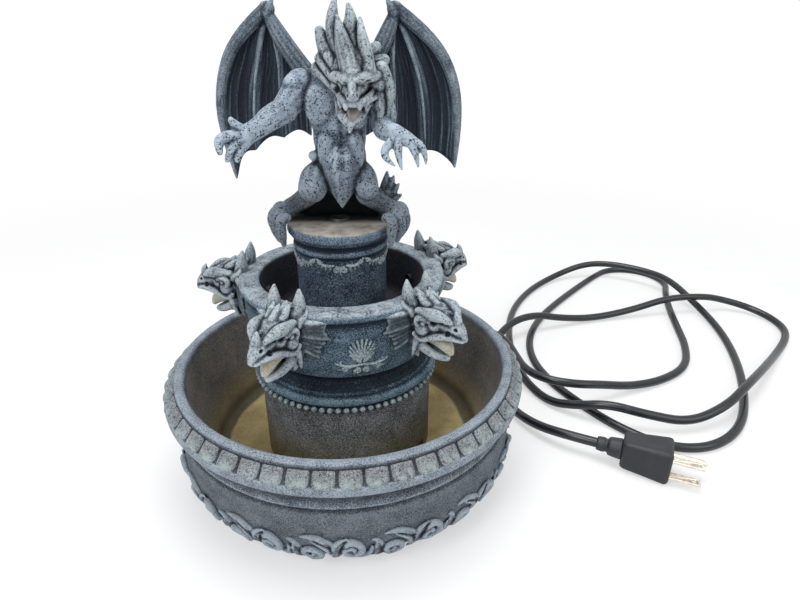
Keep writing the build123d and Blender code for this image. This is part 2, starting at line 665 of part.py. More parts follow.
# Cord on the table, from the grommet to the plug
CORD_END_H = PLUG_H / 2
CORD_LEADS = 10.0
CORD_ROUTE = [
    (73.8, 130.0, 24.5),
    (92.7, 136.5, 23.0),
    (112.0, 131.5, 21.0),
    (125.4, 117.0, 18.5),
    (129.3, 97.4, 16.5),
    (133.0, 75.0, 16.5),
    (147.6, 59.1, 17.5),
    (168.5, 53.5, 17.5),
    (189.0, 59.0, 13.5),
    (216.0, 68.0, 6.0),
    (246.0, 80.0, 3.3),
    (274.0, 100.0, 3.3),
    (289.0, 134.0, 3.3),
    (297.0, 172.0, 3.3),
    (306.0, 212.0, 3.3),
    (317.0, 247.0, 3.3),
    (327.5, 271.0, 3.3),
    (321.0, 296.0, 3.3),
    (300.0, 311.0, 3.3),
    (274.0, 309.5, 3.3),
    (255.0, 292.0, 3.3),
    (228.0, 262.0, 3.3),
    (196.0, 224.0, 3.3),
    (168.0, 186.0, 3.3),
    (151.0, 148.0, 3.3),
    (147.0, 112.0, 3.3),
    (154.0, 80.0, 3.3),
    (169.0, 51.0, 3.3),
    (188.0, 22.0, 3.3),
    (214.0, -1.0, 3.3),
    (246.0, -3.0, 3.3),
    (278.0, 19.0, 3.3),
    (303.0, 62.0, 3.3),
    (323.0, 113.0, 3.3),
    (335.0, 166.0, 3.3),
    (333.0, 214.0, 7.0),
    (321.0, 254.0, 16.5),
    (302.0, 279.0, 16.5),
    (272.0, 296.0, 17.0),
    (243.0, 300.0, 15.0),
    (207.0, 288.0, 5.0),
    (172.0, 253.0, 3.3),
    (146.0, 206.0, 3.3),
    (134.0, 158.0, 3.3),
    (131.0, 114.0, 3.3),
    (135.0, 78.0, 3.3),
    (147.0, 51.0, 3.3),
    (164.0, 38.5, 9.0),
    (184.0, 29.0, 17.0),
    (208.0, 21.0, 14.0),
    (240.0, 19.0, 8.0),
    (271.0, 31.0, 14.0),
    (296.0, 52.0, 18.0),
    (326.0, 82.0, 13.0),
    (362.0, 121.0, 4.0),
    (387.5, 149.0, 3.3),
    (397.0, 169.0, 3.5),
    (394.5, 190.5, 4.5),
    (381.0, 207.0, 7.0),
    (361.0, 214.0, 11.0),
    (338.0, 210.0, 17.0),
    (300.0, 206.0, 17.0),
    (264.0, 198.0, 8.0),
    (223.0, 189.0, 3.3),
    (187.0, 178.0, 9.0),
    (161.0, 170.0, 17.0),
    (136.0, 156.0, 17.0),
    (116.0, 132.0, 9.0),
    (107.0, 102.0, 3.3),
    (109.0, 72.0, 3.3),
    (117.0, 43.0, 3.3),
    (129.0, 18.0, 7.5),
]


def cord_points():
    """The route with both ends, each led out straight from what holds it."""
    tail = Vector(PLUG_TAIL[0], PLUG_TAIL[1], CORD_END_H)
    exits = [polar(GROMMET_END_R + step, LEAD_ANGLE, LEAD_Z) for step in (0, CORD_LEADS)]
    ends = [tail - polar(step, PLUG_HEADING) for step in (2 * CORD_LEADS, 0)]
    return exits + [Vector(*p) for p in CORD_ROUTE] + ends


def corner_radii(points):
    """Largest arc that each corner's two runs leave room for."""
    radii = []
    for a, b, c in zip(points, points[1:], points[2:]):
        turn = radians((b - a).get_angle(c - b))
        radii.append(0.45 * min((b - a).length, (c - b).length) / tan(turn / 2))
    return radii


def power_cord():
    points = cord_points()
    radii = corner_radii(points)
    path = FilletPolyline(*points, radius=radii)
    start = Plane(points[0], z_dir=points[1] - points[0])
    tube = sweep(start * Circle(CORD_R), path=path)
    print("cord length", round(path.length, 1), "least radius", round(min(radii), 1))
    print("cord volume over section times length", round(tube.volume / (pi * CORD_R**2 * path.length), 4))
    print("cord's least gap to itself", round(least_gap(path), 2))
    print("cord's height above the table", round(tube.bounding_box().min.Z, 2))
    return tube


def least_gap(path, step=4.0, skip=40.0):
    """Least gap between stretches of the cord that are further apart along it than skip."""
    count = int(path.length / step)
    spots = [path.position_at(i / count) for i in range(count + 1)]
    apart = int(skip / step)
    gaps = [(p - q).length for i, p in enumerate(spots) for q in spots[i + apart :]]
    return min(gaps) - 2 * CORD_R


# Plug, in its own frame: x from the cord's end towards the blades, y to the far side
def plug_place(shape):
    place = Pos(PLUG_TAIL[0], PLUG_TAIL[1], CORD_END_H) * Rot(0, 0, PLUG_HEADING)
    if isinstance(shape, list):
        return [place * s for s in shape]
    return place * shape


PLUG_FACE_X = PLUG_RELIEF_L + PLUG_L
EARTH_Y = EARTH_OFFSET / 2
BLADE_Y = -EARTH_OFFSET / 2


def plug_relief():
    return rod((0, 0, 0), (PLUG_RELIEF_L, 0, 0), PLUG_RELIEF_TIP_R, PLUG_RELIEF_R)


def plug_body():
    box = Box(PLUG_L, PLUG_W, PLUG_H)
    box = fillet(box.edges().filter_by(Axis.X), PLUG_FILLET)
    body = Pos(PLUG_RELIEF_L + PLUG_L / 2, 0, 0) * box
    for part in (plug_earth_pin(), *plug_blades()):
        body -= part
    return body


def plug_blades():
    sunk = PLUG_FACE_X - PLUG_L / 3
    blades = []
    for side in (-1, 1):
        size = Box(BLADE_L + PLUG_L / 3, BLADE_W, BLADE_T, align=(Align.MIN, Align.CENTER, Align.CENTER))
        blades.append(Pos(sunk, BLADE_Y, side * BLADE_PITCH / 2) * size)
    return blades


def plug_earth_pin():
    sunk = PLUG_FACE_X - PLUG_L / 3
    return rod((sunk, EARTH_Y, 0), (PLUG_FACE_X + EARTH_L, EARTH_Y, 0), EARTH_R)


def build():
    """Every node of the fountain, by name."""
    nodes = {}
    nodes["basin"] = basin()
    nodes["foot_pads"] = foot_pads()
    nodes["cord_grommet"] = cord_grommet()
    nodes["pedestal_drum"] = pedestal_drum()
    bowl = nodes["upper_bowl"] = upper_bowl()
    tubes = nodes["spout_tubes"] = spout_tubes()
    for number, angle in enumerate(head_angles()):
        nodes[f"dragon_head_{number + 1}"] = dragon_head(angle, bowl, tubes[number])
    column = nodes["upper_column"] = upper_column()
    nozzle = nodes["outlet_nozzle"] = outlet_nozzle()
    torso = nodes["figure_torso"] = figure(figure_torso()) - column - nozzle
    nodes["figure_head"] = figure(figure_head()) - torso
    taken = torso + nodes["figure_head"]
    for side, word in ((-1, "left"), (1, "right")):
        leg = figure(figure_leg(side)) - taken - column
        arm = figure(figure_arm(side)) - taken
        wing = figure(figure_wing(side)) - taken
        nodes[f"figure_leg_{word}"] = leg
        nodes[f"figure_arm_{word}"] = arm - leg
        nodes[f"figure_wing_{word}"] = wing - arm
    tail = figure(figure_tail()) - torso - column
    nodes["figure_tail"] = tail - nodes["figure_leg_right"] - nodes["figure_leg_left"]
    pump = {
        "pump_housing": pump_housing(),
        "pump_volute": pump_volute(),
        "pump_seal": pump_seal(),
        "pump_strainer": pump_strainer(),
        "flow_knob": flow_knob(),
        "impeller": impeller(),
        "rotor_magnet": rotor_magnet(),
        "rotor_shaft": rotor_shaft(),
        "shaft_bushes": shaft_bushes(),
        "suction_cups": suction_cups(),
        "pump_gland": pump_gland(),
        "hose_barb": hose_barb(),
    }
    nodes.update({name: pump_place(shape) for name, shape in pump.items()})
    nodes["riser_hose"] = riser_hose()
    nodes["pump_lead"] = pump_lead()
    nodes["power_cord"] = power_cord()
    nodes["plug_relief"] = plug_place(plug_relief())
    nodes["plug_body"] = plug_place(plug_body())
    nodes["plug_blades"] = plug_place(plug_blades())
    nodes["plug_earth_pin"] = plug_place(plug_earth_pin())
    return nodes


def main():
    os.makedirs("parts", exist_ok=True)
    for name, shape in build().items():
        solids = shape if isinstance(shape, list) else [shape]
        solids = [s for one in solids for s in one.solids()]
        whole = solids[0] if len(solids) == 1 else Compound(children=solids)
        export_step(whole, f"parts/{name}.step")


if __name__ == "__main__":
    main()
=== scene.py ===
"""Looks of the tabletop water fountain: cast stone with a dark wash and pale dry-brushing, a glossy
black lead and its plug. Shapes and the edges of stains are written in millimetres and turned into metres
when a piece or a finish is made; the camera, the lamps and bump heights are in metres."""

from math import cos, hypot, pi, radians, sin, sqrt

import bmesh
import bpy
import numpy as np
from mathutils import Matrix, Vector, noise


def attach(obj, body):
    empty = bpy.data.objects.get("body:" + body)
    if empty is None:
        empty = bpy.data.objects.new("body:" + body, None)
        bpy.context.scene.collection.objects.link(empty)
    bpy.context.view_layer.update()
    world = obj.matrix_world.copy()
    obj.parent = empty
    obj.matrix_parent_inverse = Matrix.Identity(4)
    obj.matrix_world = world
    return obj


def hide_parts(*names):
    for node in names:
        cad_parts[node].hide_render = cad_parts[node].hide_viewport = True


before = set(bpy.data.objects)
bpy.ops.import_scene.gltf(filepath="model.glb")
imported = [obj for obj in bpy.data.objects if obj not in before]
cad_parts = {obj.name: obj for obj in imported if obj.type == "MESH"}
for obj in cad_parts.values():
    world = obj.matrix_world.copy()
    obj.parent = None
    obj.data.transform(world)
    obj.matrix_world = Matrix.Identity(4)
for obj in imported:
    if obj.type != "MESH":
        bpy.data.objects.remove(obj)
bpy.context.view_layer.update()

MM = 0.001
TURN = 2 * pi
PLATFORM_Z = 165.0
BOWL_TURN = 12.3
HEAD_Z = 118.0
HEAD_WALL_R = 57.5
HEAD_ANGLES = (-36.0, 36.0, 108.0, 180.0, -108.0)
PALMETTE_ANGLE = 14.5
LEAD_ANGLE = 62.0
LEAD_Z = 26.0


# Small geometry helpers
def polar(radius, angle, z):
    """Point at an angle in degrees, counted from the front (-Y) towards the viewer's right."""
    return Vector((radius * sin(radians(angle)), -radius * cos(radians(angle)), z))


def blend(a, b, t):
    """Value at a share t of the way from a to b."""
    return a + (b - a) * t


def ease(t):
    """0 to 1 with a gentle start and end."""
    t = min(max(t, 0.0), 1.0)
    return t * t * (3 - 2 * t)


def degrees_of(length, radius):
    """Angle in degrees that a length round a circle takes up."""
    return length / radius * 180 / pi


def radius_at(outline, z):
    """Radius at a height of an outline of rising (r, z) points."""
    for (r0, z0), (r1, z1) in zip(outline, outline[1:]):
        if z <= z1:
            return blend(r0, r1, (z - z0) / (z1 - z0))
    return outline[-1][0]


def along(points, t):
    """Point at a share t of a line of points, run smoothly through them."""
    last = len(points) - 1
    i = min(int(t * last), last - 1)
    f = t * last - i
    p = [Vector(points[min(max(k, 0), last)]) for k in (i - 1, i, i + 1, i + 2)]
    a = 2 * p[1]
    b = p[2] - p[0]
    c = 2 * p[0] - 5 * p[1] + 4 * p[2] - p[3]
    d = 3 * p[1] - p[0] - 3 * p[2] + p[3]
    return 0.5 * (a + b * f + c * f * f + d * f**3)


# Making pieces
def piece_from(name, mesh, body, material, nodes=()):
    """Turn a mesh in millimetres into a piece that rides on a body."""
    mesh.name = name
    mesh.transform(Matrix.Scale(MM, 4))
    for face in mesh.polygons:
        face.use_smooth = True
    mark_wear(mesh)
    obj = bpy.data.objects.new(name, mesh)
    bpy.context.collection.objects.link(obj)
    mesh.materials.clear()
    mesh.materials.append(material)
    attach(obj, body)
    if nodes:
        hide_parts(*nodes)
    return obj


def dress(node, material):
    """Give its material to a CAD node that stays."""
    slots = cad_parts[node].data.materials
    slots.clear()
    slots.append(material)


def as_mesh(bm, merge=1e-4):
    """Close, orient and hand over a bmesh."""
    if merge:
        bmesh.ops.remove_doubles(bm, verts=bm.verts, dist=merge)
    bmesh.ops.recalc_face_normals(bm, faces=bm.faces)
    mesh = bpy.data.meshes.new("making")
    bm.to_mesh(mesh)
    bm.free()
    return mesh


def through(data, *modifiers):
    """Mesh of a curve or a mesh after the named modifiers."""
    obj = bpy.data.objects.new("making", data)
    bpy.context.collection.objects.link(obj)
    for kind, settings in modifiers:
        modifier = obj.modifiers.new(kind, kind)
        for key, value in settings.items():
            setattr(modifier, key, value)
    bpy.context.view_layer.update()
    graph = bpy.context.evaluated_depsgraph_get()
    mesh = bpy.data.meshes.new_from_object(obj.evaluated_get(graph))
    bpy.data.objects.remove(obj)
    return mesh


def vectors(mesh, what):
    """Array of the mesh's points ("co") or of their normals ("normal"), one to a row."""
    flat = np.empty(len(mesh.vertices) * 3)
    mesh.vertices.foreach_get(what, flat)
    return flat.reshape(-1, 3)


def mark_wear(mesh, rounds=(2, 10, 34), relief=0.06):
    """Store how far each point stands proud of, or below, its smoothed surroundings."""
    count = len(mesh.vertices)
    places, normals = vectors(mesh, "co"), vectors(mesh, "normal")
    ends = np.empty(len(mesh.edges) * 2, dtype=np.int64)
    mesh.edges.foreach_get("vertices", ends)
    a, b = ends.reshape(-1, 2).T
    links = np.bincount(a, minlength=count) + np.bincount(b, minlength=count)
    links = np.maximum(links, 1)[:, None]
    smooth, done, total = places.copy(), 0, np.zeros(count)
    for step in rounds:
        for _ in range(step - done):
            pulled = np.zeros_like(smooth)
            np.add.at(pulled, a, smooth[b])
            np.add.at(pulled, b, smooth[a])
            smooth = 0.5 * smooth + 0.5 * pulled / links
        done = step
        proud = np.einsum("ij,ij->i", places - smooth, normals) / MM
        total += np.tanh(proud / (relief * sqrt(step)))
    layer = mesh.attributes.new("edge", "FLOAT", "POINT")
    layer.data.foreach_set("value", (total / len(rounds)).astype(np.float32))


def lathe(points, steps, spacing):
    """Shape turned about Z from (r, z) points, with softened corners."""
    line = []
    for a, b in zip(points, points[1:]):
        count = max(1, round(hypot(b[0] - a[0], b[1] - a[1]) / spacing))
        line += [(blend(a[0], b[0], i / count), blend(a[1], b[1], i / count)) for i in range(count)]
    line.append(points[-1])
    threes = zip(line, line[1:], line[2:])
    inner = [[(p[k] + 2 * q[k] + r[k]) / 4 for k in (0, 1)] for p, q, r in threes]
    line = [line[0], *inner, line[-1]]
    bm = bmesh.new()
    verts = [bm.verts.new((r, 0, z)) for r, z in line]
    edges = [bm.edges.new(pair) for pair in zip(verts, verts[1:])]
    whole = {"axis": (0, 0, 1), "cent": (0, 0, 0), "angle": TURN, "use_merge": True}
    bmesh.ops.spin(bm, geom=verts + edges, steps=steps, **whole)
    return bm


def arc(start, middle, end, count):
    """Points on a smooth bend from start to end by way of middle."""
    spots = []
    for i in range(count + 1):
        t = i / count
        w = (2 * (1 - t) * (0.5 - t), 4 * t * (1 - t), 2 * t * (t - 0.5))
        spots.append(tuple(w[0] * s + w[1] * m + w[2] * e for s, m, e in zip(start, middle, end)))
    return spots


def strands(lines, sides=3, smooth=4):
    """Mesh of tapered round strands; each line is a list of points and a list of radii."""
    curve = bpy.data.curves.new("making", "CURVE")
    curve.dimensions = "3D"
    curve.bevel_depth = 1.0
    curve.bevel_resolution = sides
    curve.use_fill_caps = True
    for points, radii in lines:
        spline = curve.splines.new("NURBS")
        spline.points.add(len(points) - 1)
        for spot, point, radius in zip(spline.points, points, radii):
            spot.co = (*point, 1)
            spot.radius = radius
        spline.order_u = min(3, len(points))
        spline.use_endpoint_u = True
        spline.resolution_u = smooth
    return through(curve)


def balls(spots):
    """Mesh of balls; each is a place, a radius and, if it is not round, three shares of it."""
    bm = bmesh.new()
    for place, radius, *shares in spots:
        size = shares[0] if shares else (1, 1, 1)
        matrix = Matrix.Translation(place) @ Matrix.Diagonal((*[radius * s for s in size], 1))
        bmesh.ops.create_icosphere(bm, subdivisions=3, radius=1, matrix=matrix)
    return as_mesh(bm, merge=0)


def joined(*meshes):
    """One bmesh of several meshes."""
    bm = bmesh.new()
    for mesh in meshes:
        bm.from_mesh(mesh)
    return bm


def clay(lines, lumps, voxel, soften):
    """Strands, rounded at their ends, and lumps pressed into one skin."""
    ends = [(points[i], radii[i]) for points, radii in lines for i in (0, -1) if radii[i] > 0.9]
    mesh = as_mesh(joined(strands(lines), balls([*lumps, *ends])), merge=0)
    skin = ("REMESH", {"mode": "VOXEL", "voxel_size": voxel})
    return through(mesh, skin, ("SMOOTH", {"factor": 0.5, "iterations": soften}))


def ropes(lines, sides, smooth):
    """Strands that each keep their own closed skin."""
    return as_mesh(joined(strands(lines, sides, smooth)), merge=0)


def moved(mesh, matrix):
    """Copy of a mesh put somewhere else."""
    copy = mesh.copy()
    copy.transform(matrix)
    return copy


def pressed(mesh, spots):
    """Mesh with dents; each is a place, a radius and a depth, pushed in along the surface's normals."""
    places, normals = vectors(mesh, "co"), vectors(mesh, "normal")
    for place, radius, depth in spots:
        near = np.linalg.norm(places - np.array(place), axis=1) / radius
        push = np.clip(1 - near * near, 0, 1) ** 2 * depth
        places -= normals * push[:, None]
    mesh.vertices.foreach_set("co", places.ravel())
    mesh.update()
    return mesh


def both(spots):
    """Spots or lines with their mirror images across y = 0."""
    mirrored = []
    for first, *rest in spots:
        if isinstance(first, list):
            mirrored.append(([(x, -y, z) for x, y, z in first], *rest))
        else:
            mirrored.append(((first[0], -first[1], first[2]), *rest))
    return [*spots, *mirrored]


# Materials
SEEN_RAYS = ("Camera", "Glossy", "Transmission")
SOOT = (0.006, 0.008, 0.012)
NAVY = (0.003, 0.006, 0.012)
CHALK = (0.46, 0.53, 0.57)


class Wire:
    """An output socket; sums, differences and products of wires add Math nodes."""

    def __init__(self, nodes, socket):
        self.nodes = nodes
        self.socket = socket

    def maths(self, operation, *others):
        return self.nodes.node("Math", dict(enumerate((self, *others))), operation=operation)

    def __add__(self, other):
        return self.maths("ADD", other)

    def __sub__(self, other):
        return self.maths("SUBTRACT", other)

    def __rsub__(self, other):
        return self.nodes.node("Math", {0: other, 1: self}, operation="SUBTRACT")

    def __mul__(self, other):
        return self.maths("MULTIPLY", other)

    def step(self, low, high):
        """0 below low, 1 above high, smooth between them."""
        values = {"Value": self, "From Min": low, "From Max": high}
        return self.nodes.node("MapRange", values, interpolation_type="SMOOTHSTEP")

    def rise(self, low, high):
        """The same step for a length, with its ends in millimetres."""
        return self.step(low * MM, high * MM)

    def within(self, reach, fade):
        """1 up to a reach either side of 0, gone at fade; both in millimetres."""
        return 1 - self.maths("ABSOLUTE").rise(reach, fade)

    __radd__ = __add__
    __rmul__ = __mul__


class Nodes:
    """The node tree of a material or of the world."""

    def __init__(self, tree):
        self.tree = tree

    def put(self, node, values):
        """Set or link a node's sockets."""
        for key, value in values.items():
            if isinstance(value, Wire):
                self.tree.links.new(value.socket, node.inputs[key])
            else:
                node.inputs[key].default_value = value

    def node(self, kind, values=None, out=0, **settings):
        """Wire of a new node, with its settings set before its sockets."""
        node = self.tree.nodes.new("ShaderNode" + kind)
        for key, value in settings.items():
            if key == "stops":
                ramp = node.color_ramp
                while len(ramp.elements) < len(value):
                    ramp.elements.new(1.0)
                for element, (place, colour) in zip(ramp.elements, value):
                    element.position = place
                    element.color = (*colour, 1)
            else:
                setattr(node, key, value)
        self.put(node, values or {})
        return Wire(self, node.outputs[out])

    def seen(self):
        """1 for the camera, directly or by way of a shine or a clear piece, and 0 for other rays."""
        rays = self.node("LightPath").socket.node.outputs
        camera, shine, clear = (Wire(self, rays[f"Is {kind} Ray"]) for kind in SEEN_RAYS)
        return camera.maths("MAXIMUM", shine).maths("MAXIMUM", clear)


class Finish(Nodes):
    """One procedural material."""

    def __init__(self, name, **sockets):
        self.material = bpy.data.materials.new(name)
        self.material.use_nodes = True
        super().__init__(self.material.node_tree)
        self.shader = self.tree.nodes["Principled BSDF"]
        self.put(self.shader, {key.replace("_", " "): value for key, value in sockets.items()})
        self.spot = self.node("TexCoord", out="Object")

    def noise(self, scale, detail=3.0, rough=0.55, bend=0.0, spot=None):
        values = {"Vector": spot or self.spot, "Scale": scale}
        values |= {"Detail": detail, "Roughness": rough, "Distortion": bend}
        return self.node("TexNoise", values)

    def cells(self, scale):
        return self.node("TexVoronoi", {"Vector": self.spot, "Scale": scale}, out="Distance")

    def axes(self, vector=None):
        """Wires of x, y and z, of the place if no vector is given."""
        parts = self.node("SeparateXYZ", {"Vector": vector or self.spot}).socket.node
        return [Wire(self, out) for out in parts.outputs]

    def round_axis(self):
        """Wires of the distance from the Z axis and of the height."""
        x, y, z = self.axes()
        return (x * x + y * y).maths("SQRT"), z

    def stretched(self, *scales):
        return self.node("Mapping", {"Vector": self.spot, "Scale": scales})

    def attribute(self, name):
        return self.node("Attribute", attribute_name=name, out="Fac")

    def ramp(self, value, *stops):
        return self.node("ValToRGB", {"Fac": value}, stops=stops)

    def mix(self, share, a, b):
        """Colour a where share is 0 and b where it is 1."""
        a, b = ((*c, 1) if isinstance(c, tuple) else c for c in (a, b))
        return self.node("Mix", {0: share, 6: a, 7: b}, out=2, data_type="RGBA")

    def bump(self, height, distance, strength):
        """Height is 0 to 1 and distance is its size in metres."""
        normal = self.node("Bump", {"Height": height, "Distance": distance, "Strength": strength})
        self.put(self.shader, {"Normal": normal})

    def coloured(self, colour, roughness):
        """The finished material."""
        self.put(self.shader, {"Base Color": colour, "Roughness": roughness})
        return self.material


def cast_stone(name, dark, mid, pale, proud=0.3, pits=0.0, grain=0.5, level=0.42, stain=None):
    """Cast resin stone: a dark wash left in the hollows, pale dry-brushing on what stands proud."""
    f = Finish(name, Specular_IOR_Level=0.25)
    edge = f.attribute("edge")
    fine = f.noise(2200.0, 3.0, 0.7)
    speck = f.noise(1200.0, 2.0, 0.6)
    patch = f.noise(90.0, 4.0, 0.6)
    specks = (fine - 0.5) * (2.6 * grain) + (speck - 0.5) * (2.2 * grain)
    tone = edge * proud + specks + (patch - 0.5) * 0.7 + level
    colour = f.ramp(tone, (0.05, dark), (0.45, mid), (0.95, pale))
    height = fine * 0.5 + speck * 0.3 + patch * 0.2
    if pits:
        ink = worm_pits(f) * pits
        colour = f.mix(ink, colour, (0.005, 0.006, 0.009))
        height = height - ink * 0.8
    if stain:
        colour = stain(f, colour)
    f.bump(height, 0.0007, 0.5)
    return f.coloured(colour, 0.95 - 0.25 * fine)


def worm_pits(f):
    """Round and winding pits in patches: ragged dots and the narrow middle band of a noise, broken up."""
    wind = f.noise(430.0, 1.5, 0.5, bend=1.0)
    band = 1 - (wind - 0.5).maths("ABSOLUTE").step(0.012, 0.04)
    vein = band * f.noise(600.0, 1.0).step(0.47, 0.53)
    dots = 1 - (f.cells(600.0) + (f.noise(900.0, 2.0) - 0.5) * 0.5).step(0.2, 0.3)
    patches = f.noise(110.0, 2.0).step(0.32, 0.46)
    return vein.maths("MAXIMUM", dots) * patches


def plain(name, colour, rough):
    """Moulded plastic or rubber with a fine texture and worn patches."""
    f = Finish(name)
    cloud = f.noise(60.0, 5.0)
    grain = f.noise(2500.0, 2.0)
    shade = f.mix(cloud.step(0.3, 0.75), colour, tuple(1.5 * c + 0.004 for c in colour))
    f.bump(grain, 0.00012, 0.4)
    return f.coloured(shade, rough + (cloud - 0.5) * 0.2)


# Camera, fitted to the rims of the basin and the bowl
CAMERA_PLACE = (0.03384, -0.31421, 0.26605)
CAMERA_PITCH = 25.79
PIXELS_ACROSS = 800
FOCAL_PIXELS = 580.37
camera = bpy.data.objects.new("camera", bpy.data.cameras.new("camera"))
bpy.context.collection.objects.link(camera)
camera.location = CAMERA_PLACE
camera.rotation_euler = (radians(90 - CAMERA_PITCH), 0, 0)
camera.data.sensor_width = 36.0
camera.data.lens = FOCAL_PIXELS * camera.data.sensor_width / PIXELS_ACROSS
camera.data.clip_start = 0.01
bpy.context.scene.camera = camera

# Mains lead on the table: the route of the CAD tube, straight out at both ends
CORD_RADIUS = 3.25
EXIT_R = 120.0
LEAD_OUT = 10.0
PLUG_TAIL = (165.0, -7.0, 12.0)
PLUG_HEADING = -24.0
CORD_ROUTE = [
    (73.8, 130.0, 24.5),
    (92.7, 136.5, 23.0),
    (112.0, 131.5, 21.0),
    (125.4, 117.0, 18.5),
    (129.3, 97.4, 16.5),
    (133.0, 75.0, 16.5),
    (147.6, 59.1, 17.5),
    (168.5, 53.5, 17.5),
    (189.0, 59.0, 13.5),
    (216.0, 68.0, 6.0),
    (246.0, 80.0, 3.3),
    (274.0, 100.0, 3.3),
    (289.0, 134.0, 3.3),
    (297.0, 172.0, 3.3),
    (306.0, 212.0, 3.3),
    (317.0, 247.0, 3.3),
    (327.5, 271.0, 3.3),
    (321.0, 296.0, 3.3),
    (300.0, 311.0, 3.3),
    (274.0, 309.5, 3.3),
    (255.0, 292.0, 3.3),
    (228.0, 262.0, 3.3),
    (196.0, 224.0, 3.3),
    (168.0, 186.0, 3.3),
    (151.0, 148.0, 3.3),
    (147.0, 112.0, 3.3),
    (154.0, 80.0, 3.3),
    (169.0, 51.0, 3.3),
    (188.0, 22.0, 3.3),
    (214.0, -1.0, 3.3),
    (246.0, -3.0, 3.3),
    (278.0, 19.0, 3.3),
    (303.0, 62.0, 3.3),
    (323.0, 113.0, 3.3),
    (335.0, 166.0, 3.3),
    (333.0, 214.0, 7.0),
    (321.0, 254.0, 16.5),
    (302.0, 279.0, 16.5),
    (272.0, 296.0, 17.0),
    (243.0, 300.0, 15.0),
    (207.0, 288.0, 5.0),
    (172.0, 253.0, 3.3),
    (146.0, 206.0, 3.3),
    (134.0, 158.0, 3.3),
    (131.0, 114.0, 3.3),
    (135.0, 78.0, 3.3),
    (147.0, 51.0, 3.3),
    (164.0, 38.5, 9.0),
    (184.0, 29.0, 17.0),
    (208.0, 21.0, 14.0),
    (240.0, 19.0, 8.0),
    (271.0, 31.0, 14.0),
    (296.0, 52.0, 18.0),
    (326.0, 82.0, 13.0),
    (362.0, 121.0, 4.0),
    (387.5, 149.0, 3.3),
    (397.0, 169.0, 3.5),
    (394.5, 190.5, 4.5),
    (381.0, 207.0, 7.0),
    (361.0, 214.0, 11.0),
    (338.0, 210.0, 17.0),
    (300.0, 206.0, 17.0),
    (264.0, 198.0, 8.0),
    (223.0, 189.0, 3.3),
    (187.0, 178.0, 9.0),
    (161.0, 170.0, 17.0),
    (136.0, 156.0, 17.0),
    (116.0, 132.0, 9.0),
    (107.0, 102.0, 3.3),
    (109.0, 72.0, 3.3),
    (117.0, 43.0, 3.3),
    (129.0, 18.0, 7.5),
]


def heading(angle):
    """Level direction at an angle in degrees, counted from +X towards +Y."""
    return Vector((cos(radians(angle)), sin(radians(angle)), 0))


def vinyl(name):
    """Glossy black jacket with faint dust and scuffs."""
    f = Finish(name, Coat_Roughness=0.2)
    dust = f.noise(120.0, 5.0, 0.7).step(0.52, 0.8)
    colour = f.mix(dust * 0.5, (0.008, 0.009, 0.013), (0.05, 0.055, 0.065))
    f.bump(f.noise(900.0, 2.0), 0.0001, 0.3)
    return f.coloured(colour, 0.28 + 0.25 * dust)


def mains_lead():
    """The lead as a curve, and the place where it leaves the basin."""
    curve = bpy.data.curves.new("power_lead", "CURVE")
    curve.dimensions = "3D"
    curve.bevel_depth = CORD_RADIUS * MM
    curve.bevel_resolution = 5
    curve.resolution_u = 8
    curve.use_fill_caps = True
    exits = [heading(LEAD_ANGLE) * r + Vector((0, 0, LEAD_Z)) for r in (EXIT_R, EXIT_R + LEAD_OUT)]
    ends = [Vector(PLUG_TAIL) - heading(PLUG_HEADING) * r for r in (2 * LEAD_OUT, 0)]
    points = exits + [Vector(p) for p in CORD_ROUTE] + ends
    spline = curve.splines.new("NURBS")
    spline.points.add(len(points) - 1)
    for spot, point in zip(spline.points, points):
        spot.co = (*(point * MM), 1)
    spline.order_u = 3
    spline.use_endpoint_u = True
    lead = bpy.data.objects.new("power_lead", curve)
    bpy.context.collection.objects.link(lead)
    curve.materials.append(vinyl("lead_vinyl"))
    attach(lead, "base")
    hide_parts("power_cord")
    return lead, exits[0] * MM


# Plug in its own frame: x towards the blades, y to the far side, z up
PLUG_PLACE = Matrix.Translation(PLUG_TAIL) @ Matrix.Rotation(radians(PLUG_HEADING), 4, "Z")
PLUG_RELIEF_L = 16.0
PLUG_L = 30.0
PLUG_W = 22.0
PLUG_H = 24.0
PLUG_FACE = PLUG_RELIEF_L + PLUG_L
PRONG_ROOT = PLUG_FACE - 8.0
PRONG_OFFSET = 5.95
BLADE_SPACING = 12.7
BLADE_W = 6.35
BLADE_T = 1.5
BLADE_L = 18.0
BLADE_HOLE_R = 1.6
BLADE_HOLE_X = PLUG_FACE + 14.5
PIN_R = 2.4


def block(bm, low, high, bevel, segments):
    """Box between two corners with rounded edges."""
    centre = [(a + b) / 2 for a, b in zip(low, high)]
    size = [b - a for a, b in zip(low, high)]
    matrix = Matrix.Translation(centre) @ Matrix.Diagonal((*size, 1))
    made = bmesh.ops.create_cube(bm, size=1, matrix=matrix)["verts"]
    edges = list({e for v in made for e in v.link_edges})
    rounding = {"segments": segments, "profile": 0.5, "affect": "EDGES", "material": -1}
    bmesh.ops.bevel(bm, geom=edges, offset=bevel, **rounding)


def drill(bm, radius, depth, segments, matrix):
    """Rod along the matrix's z, to be cut out of a piece."""
    ends = {"radius1": radius, "radius2": radius, "depth": depth, "cap_ends": True}
    bmesh.ops.create_cone(bm, segments=segments, matrix=matrix, **ends)


